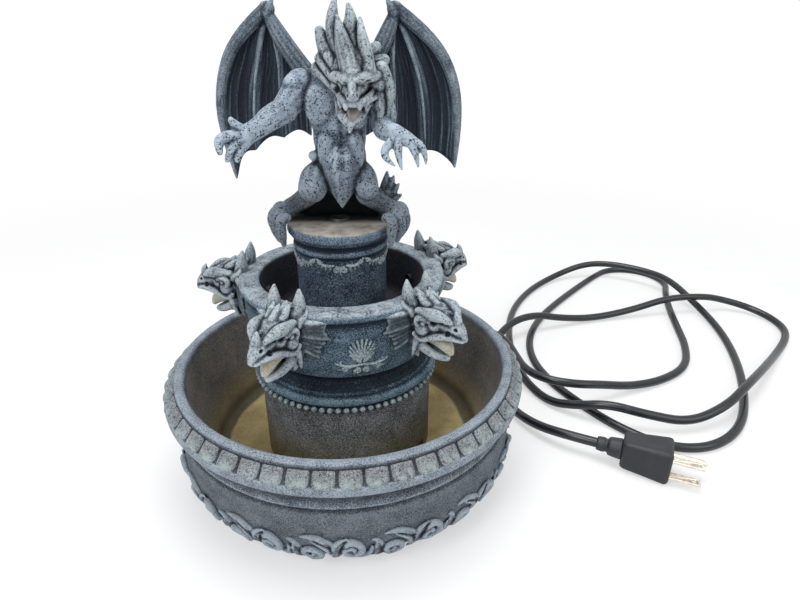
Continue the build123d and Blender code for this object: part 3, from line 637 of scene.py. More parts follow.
def plug_body():
    """Moulded body: rounded block, slimmer at its tail, with oval recesses and grip grooves."""
    bm = bmesh.new()
    low, high = (PLUG_RELIEF_L, -PLUG_W / 2, -PLUG_H / 2), (PLUG_FACE, PLUG_W / 2, PLUG_H / 2)
    block(bm, low, high, 3.0, 4)
    for v in bm.verts:
        slim = 1 - 0.3 * (1 - ease((v.co.x - PLUG_RELIEF_L) / (0.6 * PLUG_L)))
        v.co.y *= slim
        v.co.z *= 0.5 * (1 + slim)
    body = as_mesh(bm)
    cutters = bmesh.new()
    middle = PLUG_RELIEF_L + 0.5 * PLUG_L
    for side in (-1, 1):
        dish = Matrix.Translation((middle, 0, side * PLUG_H / 2)) @ Matrix.Diagonal((9.5, 6.5, 1.0, 1))
        bmesh.ops.create_uvsphere(cutters, u_segments=40, v_segments=20, radius=1, matrix=dish)
        for share in (0.36, 0.64):
            place = Matrix.Translation((PLUG_RELIEF_L + share * PLUG_L, side * PLUG_W / 2, 0))
            drill(cutters, 1, 1, 16, place @ Matrix.Diagonal((1.6, 1.3, PLUG_H, 1)))
    return cut(body, as_mesh(cutters, merge=0))


def cut(mesh, cutter):
    """Mesh with the cutter's volume taken out."""
    tool = bpy.data.objects.new("cutter", cutter)
    bpy.context.collection.objects.link(tool)
    result = through(mesh, ("BOOLEAN", {"operation": "DIFFERENCE", "object": tool, "solver": "EXACT"}))
    bpy.data.objects.remove(tool)
    return result


def plug_relief():
    """Tapered sleeve with a collar round the lead's end."""
    points = [(CORD_RADIUS, 0.0), (4.6, 0.2), (5.0, 5.0), (4.3, 5.6), (4.3, 7.0)]
    points += [(6.0, 7.6), (6.4, 10.0), (7.0, PLUG_RELIEF_L), (0.0, PLUG_RELIEF_L)]
    mesh = as_mesh(lathe(points, 40, spacing=0.8))
    mesh.transform(Matrix.Rotation(radians(90), 4, "Y"))
    return mesh


def plug_blades():
    """Pair of flat blades, each with a hole near its end."""
    bm = bmesh.new()
    for side in (-1, 1):
        z = side * BLADE_SPACING / 2
        low = (PRONG_ROOT, -PRONG_OFFSET - BLADE_W / 2, z - BLADE_T / 2)
        high = (PLUG_FACE + BLADE_L, -PRONG_OFFSET + BLADE_W / 2, z + BLADE_T / 2)
        block(bm, low, high, 0.5, 2)
    holes = bmesh.new()
    drill(holes, BLADE_HOLE_R, 30, 24, Matrix.Translation((BLADE_HOLE_X, -PRONG_OFFSET, 0)))
    return cut(as_mesh(bm), as_mesh(holes))


def plug_pin():
    """Round earth pin with a domed end."""
    dome = ((PIN_R, 18.4), (1.9, 20), (0.9, 20.9), (0, 21))
    points = [(0, PRONG_ROOT), (PIN_R, PRONG_ROOT), *[(r, PLUG_FACE + x) for r, x in dome]]
    pin = as_mesh(lathe(points, 28, spacing=1.0))
    pin.transform(Matrix.Translation((0, PRONG_OFFSET, 0)) @ Matrix.Rotation(radians(90), 4, "Y"))
    return pin


def plug():
    """The plug's pieces at the lead's end."""
    black = plain("plug_vinyl", (0.011, 0.012, 0.016), 0.5)
    metal = brass()
    forms = (
        ("plug_moulding", plug_body(), black, "plug_body", "plug_plastic"),
        ("plug_sleeve", plug_relief(), black, "plug_relief", "plug_plastic"),
        ("plug_prongs", plug_blades(), metal, "plug_blades", "brass"),
        ("plug_earth", plug_pin(), metal, "plug_earth_pin", "brass"),
    )
    pieces = []
    for name, mesh, finish, node, slot in forms:
        pieces.append(piece_from(name, moved(mesh, PLUG_PLACE), "base", finish, [node]))
    return pieces


def brass():
    """Pale rubbed brass of the prongs."""
    f = Finish("plug_brass", Metallic=1.0)
    rub = f.noise(300.0, 4.0, 0.6, spot=f.stretched(1, 1, 4))
    colour = f.mix(rub.step(0.35, 0.7), (0.7, 0.62, 0.5), (0.92, 0.86, 0.76))
    return f.coloured(colour, 0.25 + 0.3 * rub)


lead, lead_exit = mains_lead()
plug_pieces = plug()

# Basin
TONGUES = 52
TONGUE_TURN = 2.3
BASIN_FLOOR_Z = 18.0
BASIN_TOP_Z = 77.6
BELLY = arc((86.0, 1.0), (96.9, 12.9), (103.0, 26.0), 16)
FRIEZE_UNITS = 30
FRIEZE_R = 100.0
FRIEZE_Z = 19.5
FRIEZE_HALF = 14.0
SPIRAL_STEPS = 12


def basin_shell():
    """Basin turned from its outline: foot, belly, groove, cove, lip, rim and hollow."""
    points = [(0.0, 10.0), (73.0, 10.0), (73.0, 1.0), *BELLY, (103.2, 36.0), (103.0, 46.0)]
    points += [(101.4, 47.2), (101.4, 48.6), (102.4, 49.4)]
    points += arc((102.4, 49.4), (102.8, 56.0), (105.2, 60.5), 6)
    points += [(107.2, 62.0), (109.2, 63.4), (109.6, 67.8), (108.8, 68.8), (107.2, 69.2), (102.8, 74.2)]
    points += [(102.8, 77.0), (102.2, BASIN_TOP_Z), (98.2, BASIN_TOP_Z), (97.4, 77.0)]
    points += [(95.6, 70.0), (84.5, 24.0)]
    points += arc((84.5, 24.0), (82.7, 19.7), (79.0, BASIN_FLOOR_Z), 5)
    points += [(0.0, BASIN_FLOOR_Z)]
    return lathe(points, 192, spacing=1.6)


def tongue():
    """One tongue of the border: x across, y up the slope from its round lower end, z proud."""
    half, length, corner = 5.95, 9.6, 3.4
    bm = bmesh.new()
    bmesh.ops.create_grid(bm, x_segments=18, y_segments=16, size=0.5)
    for v in bm.verts:
        x, y = 2 * v.co.x, v.co.y + 0.5
        rise = length * y
        drawn = sqrt(1 - max(0.0, 1 - rise / corner) ** 2)
        dome = (1 - abs(x) ** 6) * (1 - abs(2 * y - 1) ** 10)
        swell = 0.7 * (1 - x * x) * (1 - 0.6 * y)
        v.co = (half * x * blend(0.55, 1.0, drawn), rise, -1.6 + 2.0 * dome + swell)
    return as_mesh(bm, merge=0)


def around(mesh, count, first, wobble):
    """Copies of a mesh turned about Z, each a little off its even place."""
    bm = bmesh.new()
    for i in range(count):
        nudge = wobble * noise.noise((i * 3.7, 1.3, 0))
        turned = moved(mesh, Matrix.Rotation(radians(first + 360 * i / count) + nudge, 4, "Z"))
        bm.from_mesh(turned)
        bpy.data.meshes.remove(turned)
    return bm


def tongue_border():
    """Ring of tongues on the slope between the basin's lip and its rim."""
    low, high = Vector((109.7, 68.2)), Vector((102.9, 75.2))
    slope = (high - low).normalized()
    place = Matrix(
        ((0, slope.x, slope.y, low.x), (1, 0, 0, 0), (0, slope.y, -slope.x, low.y), (0, 0, 0, 1))
    )
    first = TONGUE_TURN + 180 / TONGUES
    return as_mesh(around(moved(tongue(), place), TONGUES, first, wobble=0.004), merge=0)


def on_belly(u, z, proud):
    """Point on the basin's lower hull, u millimetres round from the front."""
    return polar(radius_at(BELLY, z) + proud, degrees_of(u, FRIEZE_R), z)


def scroll_unit(start, pitch, flip):
    """One leaf scroll of the frieze: a curling stem, flutes that sweep past it and an answering curl."""
    lines = []
    half = FRIEZE_HALF if flip else -FRIEZE_HALF

    def leaf(spots, radii, proud=1.2):
        placed = [on_belly(start + pitch * u, FRIEZE_Z + half * v, proud) for u, v in spots]
        lines.append((placed, [0.8 * r for r in radii]))

    spiral, thinning = [], []
    for i in range(SPIRAL_STEPS + 1):
        share = i / SPIRAL_STEPS
        turn = -0.6 * pi + 2.6 * pi * share
        reach = blend(0.34, 0.07, share)
        spiral.append((0.42 + reach * cos(turn), 0.12 - 1.8 * reach * sin(turn)))
        thinning.append(blend(2.5, 1.4, share))
    leaf([(-0.12, -0.72), (0.06, -0.78), *spiral], [0.6, 1.8, *thinning], 1.8)
    leaf([(0.2, -0.85), (0.55, -0.95), (0.86, -0.62), (1.02, -0.1)], [0.6, 2.2, 2.0, 0.5])
    leaf([(0.45, -0.75), (0.74, -0.55), (0.92, -0.1), (0.9, 0.42)], [0.6, 2.0, 1.9, 0.5], 1.7)
    leaf([(0.7, -0.9), (0.98, -0.6), (1.1, 0.1), (0.98, 0.7)], [0.6, 2.0, 1.8, 0.5])
    leaf([(0.02, -0.3), (-0.04, 0.25), (0.1, 0.72), (0.34, 0.86)], [0.6, 1.9, 1.7, 0.5], 1.6)
    leaf([(0.14, -0.2), (0.06, 0.3), (0.2, 0.66), (0.44, 0.7)], [0.5, 1.5, 1.4, 0.5])
    return lines


def frieze():
    """Band of leaf scrolls round the basin's foot, every other one upside down."""
    pitch = TURN * FRIEZE_R / FRIEZE_UNITS
    lines = []
    for i in range(FRIEZE_UNITS):
        lines += scroll_unit(i * pitch, pitch, i % 2 == 0)
    return clay(lines, [], voxel=0.7, soften=1)


def water_stain_and_gap_shade(f, colour):
    """Brown-grey wall, ochre floor scale and a dark tide line inside; painted shade under the tongues."""
    radius, z = f.round_axis()
    blotch = f.noise(45.0, 5.0, 0.65)
    speck = f.noise(900.0, 3.0, 0.7)
    inside = (1 - radius.rise(95.8, 97.5)) * z.rise(BASIN_FLOOR_Z - 1.5, BASIN_FLOOR_Z - 0.5)
    wall = f.ramp(speck + (blotch - 0.5) * 0.5, (0.25, (0.05, 0.052, 0.055)), (0.75, (0.3, 0.28, 0.25)))
    ochre = f.ramp(speck * 0.4 + blotch * 0.6, (0.3, (0.2, 0.155, 0.06)), (0.7, (0.62, 0.5, 0.26)))
    low = 1 - (z + (blotch - 0.5) * (30 * MM)).rise(22, 48)
    damp = f.mix(low * 0.6, wall, ochre)
    floor = 1 - (radius + (blotch - 0.5) * (6 * MM)).rise(76.5, 79.5)
    ring = (1 - floor) * (1 - z.rise(21, 30))
    damp = f.mix(ring * 0.75, f.mix(floor, damp, ochre), (0.02, 0.02, 0.016))
    # Painted shade: the shell under and between the tongues is darkened where shade falls.
    gap_shade = radius.rise(102.4, 103) * (1 - radius.rise(108.6, 109.2)) * z.rise(68.4, 69)
    colour = f.mix(gap_shade * 0.7, colour, (0.01, 0.012, 0.016))
    # Darker below the groove, over the belly.
    colour = f.mix((1 - z.rise(46.5, 48.5)) * 0.5, colour, (0.03, 0.033, 0.04))
    return f.mix(inside, colour, damp)


def tongue_wear(f, colour):
    """Mint-pale dry-brushing on the tongues' lower ends."""
    radius = f.round_axis()[0]
    patchy = f.noise(350.0, 4.0, 0.7).step(0.36, 0.6)
    return f.mix(radius.rise(104.5, 109.5) * patchy * 0.75, colour, (0.36, 0.44, 0.44))


basin_finish = cast_stone(
    "basin_wash_and_shade",
    (0.012, 0.016, 0.024),
    (0.085, 0.1, 0.124),
    (0.33, 0.39, 0.45),
    proud=0.34,
    grain=0.62,
    level=0.44,
    stain=water_stain_and_gap_shade,
)
tongue_finish = cast_stone(
    "tongue_wash",
    (0.02, 0.024, 0.03),
    (0.17, 0.172, 0.19),
    (0.36, 0.43, 0.44),
    proud=0.12,
    grain=0.7,
    level=0.42,
    stain=tongue_wear,
)
leaf_finish = cast_stone(
    "frieze_wash",
    SOOT,
    (0.1, 0.116, 0.142),
    (0.34, 0.4, 0.45),
    proud=0.75,
    grain=0.55,
    level=0.3,
)
piece_from("basin_casting", as_mesh(basin_shell()), "base", basin_finish, ["basin"])
piece_from("basin_tongues", tongue_border(), "base", tongue_finish)
piece_from("basin_frieze", frieze(), "base", leaf_finish)

# Upper bowl on the pedestal
BOWL_WALL = arc((52.0, 93.0), (55.65, 106.0), (HEAD_WALL_R, 126.8), 10)
BOWL_TOP_Z = 133.9
SPOUT_BORE_R = 3.45
BEADS = 76
BEAD_R = 1.6
BEAD_RING_R = 54.6
BEAD_Z = 73.0


def bowl_shell():
    """Upper bowl turned from its outline, bored for the five spouts."""
    points = [(6.2, 98.0), (35.0, 98.0), (40.0, 93.0), (40.0, 64.0), (46.0, 64.0), (46.0, 70.0)]
    points += [(53.6, 70.0), (53.9, 75.6), (55.9, 76.2), (56.0, 77.4)]
    points += [(54.8, 80.4), (52.6, 80.6), (52.2, 82.4), (51.4, 82.6)]
    points += arc((51.4, 82.6), (49.4, 85.4), (48.6, 88.0), 4)
    points += arc((48.6, 88.0), (48.4, 91.0), (52.0, 93.0), 4)
    points += [*BOWL_WALL, (57.6, 128.4), (58.6, 129.0), (59.6, 130.0), (59.6, 132.6)]
    points += [(58.6, BOWL_TOP_Z), (48.8, BOWL_TOP_Z), (47.8, 133.3)]
    points += [(45.6, 108.5), (44.4, 105.6), (42.0, 104.5), (6.2, 104.5), (6.2, 98.0)]
    shell = as_mesh(lathe(points, 160, spacing=1.4))
    holes = bmesh.new()
    for angle in HEAD_ANGLES:
        spin = Matrix.Rotation(radians(BOWL_TURN + angle), 4, "Z")
        bore = spin @ Matrix.Translation((0, -52, HEAD_Z)) @ Matrix.Rotation(radians(90), 4, "X")
        drill(holes, SPOUT_BORE_R, 24, 24, bore)
    return cut(shell, as_mesh(holes, merge=0))


def bead_ring():
    """Beads round the bowl's foot."""
    bm = bmesh.new()
    for i in range(BEADS):
        place = Matrix.Translation(polar(BEAD_RING_R, 360 * i / BEADS, BEAD_Z))
        bmesh.ops.create_icosphere(bm, subdivisions=2, radius=BEAD_R, matrix=place)
    return as_mesh(bm, merge=0)


def curl(centre, reach, turns, start, count=10):
    """Points of a flat spiral that winds in to its centre."""
    spots = []
    for i in range(count + 1):
        angle = start + turns * TURN * i / count
        r = blend(reach, 0.25 * reach, i / count)
        spots.append((centre[0] + r * cos(angle), centre[1] + r * sin(angle)))
    return spots


def palmette():
    """Fan of leaves over a pair of volutes with tendrils, on the bowl's front."""
    lines = []

    def leaf(spots, radii):
        turns = [PALMETTE_ANGLE + degrees_of(1.15 * x, 56.0) for x, z in spots]
        placed = [polar(radius_at(BOWL_WALL, z) + 0.5, turn, z + 0.8) for turn, (x, z) in zip(turns, spots)]
        lines.append((placed, radii))

    for i in range(-6, 7):
        lean = radians(22 * i)
        tip = (6.0 * sin(lean), 111.5 + 7.0 * cos(lean))
        root = (0.1 * i, 103.5 + 0.8 * (6 - abs(i)))
        bow = (blend(root[0], tip[0], 0.6), blend(root[1], tip[1], 0.45))
        leaf([root, bow, tip], [0.5, 0.8, 0.55])
    for side in (-1, 1):
        leaf([(side * x, z) for x, z in curl((2.5, 97.6), 2.1, 1.2, 0.4 * pi)], [0.8] * 11)
        leaf([(0, 101.8), (side * 4, 100.8), (side * 9, 101.2), (side * 12.5, 103.4)], [0.7, 0.9, 0.8, 0.4])
        leaf([(side * x, z) for x, z in curl((8.0, 98.8), 1.6, 1.1, 0.2 * pi)], [0.6] * 11)
        leaf([(side * 5, 100.5), (side * 7.5, 98.2), (side * 11.5, 99)], [0.5, 0.7, 0.3])
        leaf([(side * 9, 101), (side * 10.6, 103.5), (side * 9.4, 104.7)], [0.5, 0.6, 0.3])
    return ropes(lines, sides=2, smooth=4)


def rim_wear(f, colour):
    """Pale dry-brushing on the bowl's rim and a near-black inside."""
    radius, z = f.round_axis()
    speck = f.noise(900.0, 3.0, 0.7)
    patchy = speck + (f.noise(120.0, 4.0) - 0.5) * 0.6
    pale = f.ramp(patchy, (0.3, (0.05, 0.065, 0.085)), (0.62, (0.43, 0.49, 0.54)))
    rim = (z + (speck - 0.5) * (2 * MM)).rise(BOWL_TOP_Z - 2.1, BOWL_TOP_Z - 0.7)
    colour = f.mix(rim * 0.9, colour, pale)
    inside = (1 - radius.rise(47.4, 48.2)) * z.rise(100, 102)
    damp = f.ramp(speck, (0.3, (0.01, 0.011, 0.017)), (0.7, (0.06, 0.06, 0.07)))
    return f.mix(inside, colour, damp)


bowl_finish = cast_stone(
    "bowl_wash",
    NAVY,
    (0.02, 0.037, 0.056),
    (0.19, 0.28, 0.35),
    proud=0.4,
    grain=0.62,
    level=0.36,
    stain=rim_wear,
)
piece_from("bowl_casting", bowl_shell(), "tower", bowl_finish, ["upper_bowl"])
trim_finish = cast_stone(
    "trim_wash",
    (0.004, 0.007, 0.012),
    (0.055, 0.08, 0.1),
    (0.4, 0.48, 0.51),
    proud=0.4,
    grain=0.7,
    level=0.42,
)
piece_from("bowl_beads", bead_ring(), "tower", trim_finish)
piece_from("bowl_palmette", palmette(), "tower", trim_finish)

# Column and platform
COLUMN_R = 25.7
GARLAND_UNITS = 6


def column_shell():
    """Column with its moulded head, the platform's top and the nozzle's bore."""
    points = [(19.0, 147.0), (19.0, 104.5), (27.5, 104.5), (27.5, 107.5)]
    points += [(COLUMN_R, 108.6), (COLUMN_R, 151.0)]
    points += [(26.8, 151.2), (27.0, 153.6), (26.1, 154.6), (26.3, 156.4), (28.2, 158.6)]
    points += [(28.4, 159.6), (29.6, 160.2), (29.6, 164.2), (28.8, PLATFORM_Z), (4.05, PLATFORM_Z)]
    points += [(4.05, 158.0), (5.8, 158.0), (5.8, 151.0), (16.0, 151.0), (19.0, 147.0)]
    return as_mesh(lathe(points, 120, spacing=1.1))


def garland():
    """Volutes and festoons round the column under the platform."""
    lines = []

    def leaf(middle, spots, radii):
        placed = [polar(COLUMN_R + 0.3, middle + degrees_of(x, COLUMN_R), z) for x, z in spots]
        lines.append((placed, radii))

    for i in range(GARLAND_UNITS):
        middle = 4 + 360 * i / GARLAND_UNITS
        for side in (-1, 1):
            leaf(middle, [(side * x, z) for x, z in curl((2.2, 144.6), 1.9, 1.2, 0.45 * pi)], [0.75] * 11)
            festoon = ((3, 147), (7, 146.2), (10.5, 147.4), (13.2, 150.2))
            leaf(middle, [(side * x, z) for x, z in festoon], [0.7, 0.95, 0.9, 0.5])
            leaf(middle, [(side * x, z) for x, z in curl((11.3, 148.6), 1.5, 1.0, 0.9 * pi)], [0.6] * 11)
            for reach, lift in ((5, 143.6), (7.4, 144.2), (9.6, 145.2)):
                leaf(middle, [(side * reach, 146.6), (side * (reach + 0.7), lift)], [0.75, 0.35])
        leaf(middle, [(0, 147), (0, 141.9)], [0.9, 0.35])
    return ropes(lines, sides=2, smooth=3)


def platform_scale_and_shade(f, colour):
    """Beige hard-water scale on the front of the platform's top, painted shade behind it, under the figure.
    """
    y, z = f.axes()[1:]
    blotch = f.noise(110.0, 5.0, 0.65)
    scale = f.ramp(blotch, (0.3, (0.2, 0.18, 0.15)), (0.7, (0.5, 0.46, 0.4)))
    # Painted shade: the platform's top behind the figure, where the figure shades it, goes near black.
    scale = f.mix((y + (blotch - 0.5) * (10 * MM)).rise(-10, 0), scale, (0.012, 0.014, 0.02))
    top = (z + (blotch - 0.5) * (1.5 * MM)).rise(PLATFORM_Z - 0.8, PLATFORM_Z - 0.2)
    return f.mix(top, colour, scale)


column_finish = cast_stone(
    "column_wash_and_shade",
    NAVY,
    (0.018, 0.031, 0.053),
    (0.2, 0.27, 0.34),
    proud=0.45,
    grain=0.6,
    level=0.34,
    stain=platform_scale_and_shade,
)
piece_from("column_casting", column_shell(), "tower", column_finish, ["upper_column"])
piece_from("column_garland", garland(), "tower", trim_finish)


def drum_stain(f, colour):
    """Grey drum, yellowed towards the waterline."""
    z = f.axes()[2]
    blotch = f.noise(60.0, 5.0, 0.6, spot=f.stretched(1, 1, 0.4))
    yellow = f.ramp(f.noise(700.0, 3.0, 0.7), (0.3, (0.06, 0.05, 0.02)), (0.72, (0.3, 0.25, 0.12)))
    low = 1 - (z + (blotch - 0.5) * (30 * MM)).rise(BASIN_FLOOR_Z, 60)
    return f.mix(low * 0.85, colour, yellow)


drum_finish = cast_stone(
    "drum_wash",
    (0.02, 0.023, 0.026),
    (0.13, 0.14, 0.15),
    (0.4, 0.42, 0.43),
    grain=0.8,
    level=0.45,
    stain=drum_stain,
)
dress("pedestal_drum", drum_finish)


# Dragon heads: x out of the bowl's wall, y sideways, z up from the spout's axis
FIN_RIBS = 9


def fin_ribs():
    """Ribs of the fins that fan out sideways and lie against the bowl's wall."""
    ribs = []
    for i in range(FIN_RIBS):
        t = i / (FIN_RIBS - 1)
        tip_y = blend(21.5, 22.6, 2 * t) if t < 0.5 else blend(22.6, 16.5, 2 * t - 1)
        tip_z = blend(11.5, 2.2, 2 * t) if t < 0.5 else blend(2.2, -9.0, 2 * t - 1)
        main = i % 4 == 0
        share = 1.0 if main else (0.84 if i % 2 else 0.78)
        root = Vector((3.0, 8.5, blend(12.0, -1.5, t)))
        tip = Vector((0.6 - tip_y * tip_y / (2 * HEAD_WALL_R), tip_y, tip_z))
        end = root.lerp(tip, share)
        bow = root.lerp(tip, 0.5 * share) + Vector((1.6 if main else 0.7, 0, 0.6))
        rib = [tuple(p) for p in (root, bow, end)]
        ribs += both([(rib, [1.6, 1.7, 0.8] if main else [1.5, 1.5, 1.1])])
    return ribs


def dragon_head():
    """Head spout: skull and snout with a nose horn, and brows, lips, horns, jaw and fins in pairs."""
    lines = [
        ([(1, 0, 4), (6, 0, 6), (13, 0, 8.5)], [9.4, 10.4, 9]),
        ([(9, 0, 9), (17, 0, 8.8), (24, 0, 8), (29.5, 0, 5.4), (32.6, 0, 1.2)], [9, 6.8, 5.4, 3.7, 0.8]),
        ([(26, 0, 10), (27.4, 0, 13.4), (25, 0, 16.6)], [3.2, 2.3, 0.6]),
        ([(14, 0, 14.5), (9, 0, 18.5), (6, 0, 22.6)], [3.0, 2.6, 0.7]),
        ([(6, 0, 15), (2, 0, 18.5), (-1, 0, 21)], [3.0, 2.6, 0.8]),
    ]
    lip = [(32, 1.4, 1.4), (28, 4.2, 3.2), (21, 6.4, 3.0), (14.5, 8.2, 0.6), (10, 9.4, -1.6), (7, 10.4, 1.5)]
    eyelid = [(13, 9.5, 6.5), (9, 10.6, 6.8), (8.6, 10.8, 11), (12.4, 10.2, 12.6), (15.8, 9.2, 10.4)]
    lines += both(
        [
            ([(25, 3.5, 11), (20.5, 6.6, 14.4), (14, 8.2, 14.2), (8, 8.2, 14)], [1.4, 3.4, 3.4, 2.2]),
            (lip, [0.9, 1.6, 1.9, 2.0, 2.0, 1.4]),
            (eyelid, [1.2, 1.6, 1.7, 1.6, 1.0]),
            ([(2, 6, 12), (0.5, 7.2, 18), (-0.4, 7.6, 23.5), (-1, 7.3, 28)], [4.4, 3.9, 3.1, 1.0]),
            ([(10, 3.6, 16), (6.5, 4.2, 19), (4, 4.4, 22)], [2.6, 2.1, 0.7]),
            ([(5, 8.5, 12), (1.5, 10.5, 14.5), (-0.5, 12, 18)], [2.8, 2.2, 0.7]),
            ([(5, 7.5, -4), (11, 6.2, -8), (17.5, 3.8, -11.4), (21, 0, -12.6)], [3.2, 2.6, 2.2, 1.9]),
            ([(8, 9.6, -2), (6.5, 10.2, -8), (4.5, 8.8, -14)], [1.9, 1.4, 0.5]),
            ([(3, 6, -6), (4, 6.4, -10.5), (6, 5.4, -15)], [3.4, 2.4, 0.7]),
        ]
    )
    lines += fin_ribs()
    lumps = [((3, 0, -5), 6.4, (1, 1, 0.8)), ((2, 0, 10), 7.0), ((12, 0, -10.6), 5.0, (1.5, 1, 0.4))]
    lumps += both([((10.5, 7.4, 5), 4.4), ((12.2, 9.6, 9.4), 1.7), ((1, 5, 14), 4.0)])
    mesh = clay(lines, lumps, voxel=0.55, soften=8)
    dents = [((15, 0, 15), 3.4, 0.8), ((22.5, 0, 13.4), 3.0, 0.8)]
    for side in (-1, 1):
        dents += [((28.6, 4.2 * side, 8.2), 1.9, 2.0), ((17.6, 8.2 * side, 9.4), 2.8, 1.8)]
        dents += [((21.5, 7.0 * side, 10.4), 2.0, 1.2), ((24.5, 5.6 * side, 5.4), 2.2, 0.8)]
    return pressed(mesh, dents)


def dragon_tongue():
    """Tongue that hangs out of a spout, in the head's frame."""
    points = [(3, 0, -3), (11, 0, -2.6), (17.5, 0, -3.4), (22, 0, -6.4), (23.8, 0, -9.6)]
    return ropes([(points, [3.8, 4.0, 4.0, 3.4, 1.4])], sides=5, smooth=8)


def outwards(angle):
    """Frame of a head: x out of the bowl at an angle from the front, y sideways, z up."""
    turn = radians(angle)
    rows = ((sin(turn), cos(turn), 0), (-cos(turn), sin(turn), 0), (0, 0, 1))
    return Matrix.Translation(polar(HEAD_WALL_R, angle, HEAD_Z)) @ Matrix(rows).to_4x4()


def fin_shade(f, colour):
    """Dark teal wash over the fins, which lie against the bowl's wall."""
    radius, z = f.round_axis()
    low = (1 - radius.rise(60, 64.5)) * (1 - z.rise(127, 132))
    return f.mix(low * 0.6, colour, (0.012, 0.028, 0.038))


head_finish = cast_stone(
    "head_wash",
    SOOT,
    (0.12, 0.145, 0.175),
    CHALK,
    proud=0.7,
    grain=0.36,
    pits=0.6,
    level=0.45,
    stain=fin_shade,
)
tongue_cream = cast_stone(
    "tongue_cream",
    (0.08, 0.075, 0.06),
    (0.36, 0.34, 0.27),
    (0.6, 0.57, 0.48),
    proud=0.2,
    grain=0.5,
    level=0.5,
)
head, tongue_form = dragon_head(), dragon_tongue()
for i, angle in enumerate(HEAD_ANGLES, 1):
    place = outwards(BOWL_TURN + angle)
    piece_from(f"dragon_{i}", moved(head, place), "tower", head_finish, [f"dragon_head_{i}"])
    piece_from(f"dragon_tongue_{i}", moved(tongue_form, place), "tower", tongue_cream)


# Winged figure, crouched on the platform
def figure_body():
    """Crouching body with its arms, legs, hands and toes."""
    lumps = [
        ((1, 4, 190), 15, (1, 0.85, 0.9)),
        ((1.8, 2, 199), 14.0, (1, 0.86, 1.1)),
        ((1.8, 1, 210), 14.2, (1, 0.84, 1.1)),
        ((1.6, 0.5, 221), 15.2, (1, 0.84, 1.1)),
        ((1, 1, 231), 16.4, (1, 0.78, 0.9)),
        ((2, 1, 239), 14, (1, 0.8, 0.8)),
        ((-5, -5.4, 227), 10, (1, 0.78, 1.2)),
        ((9, -5.4, 225), 9.4, (1, 0.78, 1.2)),
        ((-2.8, -6.4, 205), 7.8, (0.85, 0.72, 1.7)),
        ((9.2, -6.4, 204), 7.2, (0.85, 0.72, 1.7)),
        ((-12.2, -3.5, 201), 2.8),
        ((-17.5, 2, 234), 9.4),
        ((20, 2, 233), 9.2),
        ((-20, -3, 237), 5.2),
    ]
    neck = [
        ([(-9, 4, 238), (-3, 1, 243), (4, -4, 247)], [6.5, 7, 8]),
        ([(15, 4, 237), (10, 1, 243), (6, -4, 247)], [6, 7, 8]),
    ]
    belly = ([(2.6, -2, 200), (2.8, -5, 192), (3, -8.5, 184), (3, -13, 176)], [12.5, 11.4, 7.4, 1.2])
    seat = ([(-17, 9, 173), (1, 14, 176), (17, 9, 173)], [9, 11.5, 9])
    left_arm = [
        ([(-17, 2, 235), (-21.5, -4, 229), (-25, -11, 225)], [9, 7.6, 6.4]),
        ([(-24, -10, 225), (-30, -17, 222.8), (-35.5, -23, 218), (-41, -26, 215.5)], [6.4, 6.6, 4.8, 5.2]),
    ]
    bent = [(20, 2, 232), (26, -4, 224), (25, -11, 217), (27, -20, 216.5), (31, -25.5, 216.8)]
    right_arm = [
        (bent, [8, 7.2, 6.2, 5.4, 4.4]),
        ([(31, -25, 216.5), (36, -27.5, 214.5), (40, -28, 212.5)], [4.6, 4.4, 3.2]),
    ]
    lines = [*neck, belly, seat, *left_arm, *right_arm]
    digits = left_hand() + right_hand()
    for side in (-1, 1):
        lines += leg(side)
        digits += toes(side)
    mesh = clay(lines, lumps, voxel=0.7, soften=16)
    mesh = as_mesh(joined(mesh, clay(digits, [], voxel=0.6, soften=4)), merge=0)
    groove = [((3.6, -12.5, z), 3.6, 0.55) for z in range(197, 224, 3)]
    return pressed(mesh, groove)


def left_hand():
    """Fingers of the reaching hand, on the viewer's left."""
    pointing = [(-43, -28, 215.5), (-49, -31, 216), (-53, -33.5, 213.8), (-51.4, -36.5, 209.4)]
    return [
        ([(-40, -26.5, 217), (-44, -27.5, 219), (-46.8, -28, 223)], [3.2, 2.8, 1.6]),
        (pointing, [3.4, 3.0, 2.8, 1.5]),
        ([(-43, -29, 213.5), (-47, -32.5, 210.5), (-49, -34.5, 205.4)], [3.2, 2.8, 1.4]),
        ([(-41, -28, 212.5), (-43.5, -32, 209.5), (-44.5, -33.5, 205)], [3.0, 2.6, 1.4]),
    ]


def right_hand():
    """Hanging claws of the hand on the viewer's right."""
    return [
        ([(31, -27.5, 214), (27, -30, 211), (25.8, -32.5, 206), (31.8, -34.8, 202.4)], [2.6, 2.3, 2.0, 0.5]),
        ([(33, -28.5, 213.5), (32.4, -31.5, 207.5), (34.9, -33, 200.2)], [2.6, 2.2, 0.6]),
        ([(38.5, -28.5, 213), (41.6, -30.5, 209), (42.8, -31.5, 201)], [2.6, 2.2, 0.6]),
        ([(40, -28, 213), (46.6, -29, 211), (46.6, -29.5, 202)], [2.6, 2.2, 0.6]),
    ]


def leg(side):
    """Folded leg; its foot rests on the platform's edge."""
    thigh = [(1 + 9 * side, 5, 189), (1.5 + 13.6 * side, -4, 190), (2 + 14.6 * side, -11, 185.5)]
    return [
        (thigh, [9, 8.4 - 0.9 * side, 7 - 0.8 * side]),
        ([(15.5 * side, -6, 181), (21 * side, 1, 174.5), (27.5 * side, 1, 171.5)], [6, 5.6, 5.2]),
        ([(24 * side, 7, 170.5), (27 * side, 1, 170.5)], [5.2, 4.6]),
    ]


def toes(side):
    """Blunt toes that hook over the platform's edge."""
    lines = []
    for angle, reach in ((57, -1.0), (70, 0.0), (83, 0.8), (97, 0.2)):
        spots = ((31.5, 171), (34, 172), (36.6 + reach, 168), (36 + reach, 161.5), (34.4, 156.8))
        lines.append(([polar(r, side * angle, z) for r, z in spots], [2.6, 3.0, 3.2, 2.8, 1.6]))
    return lines


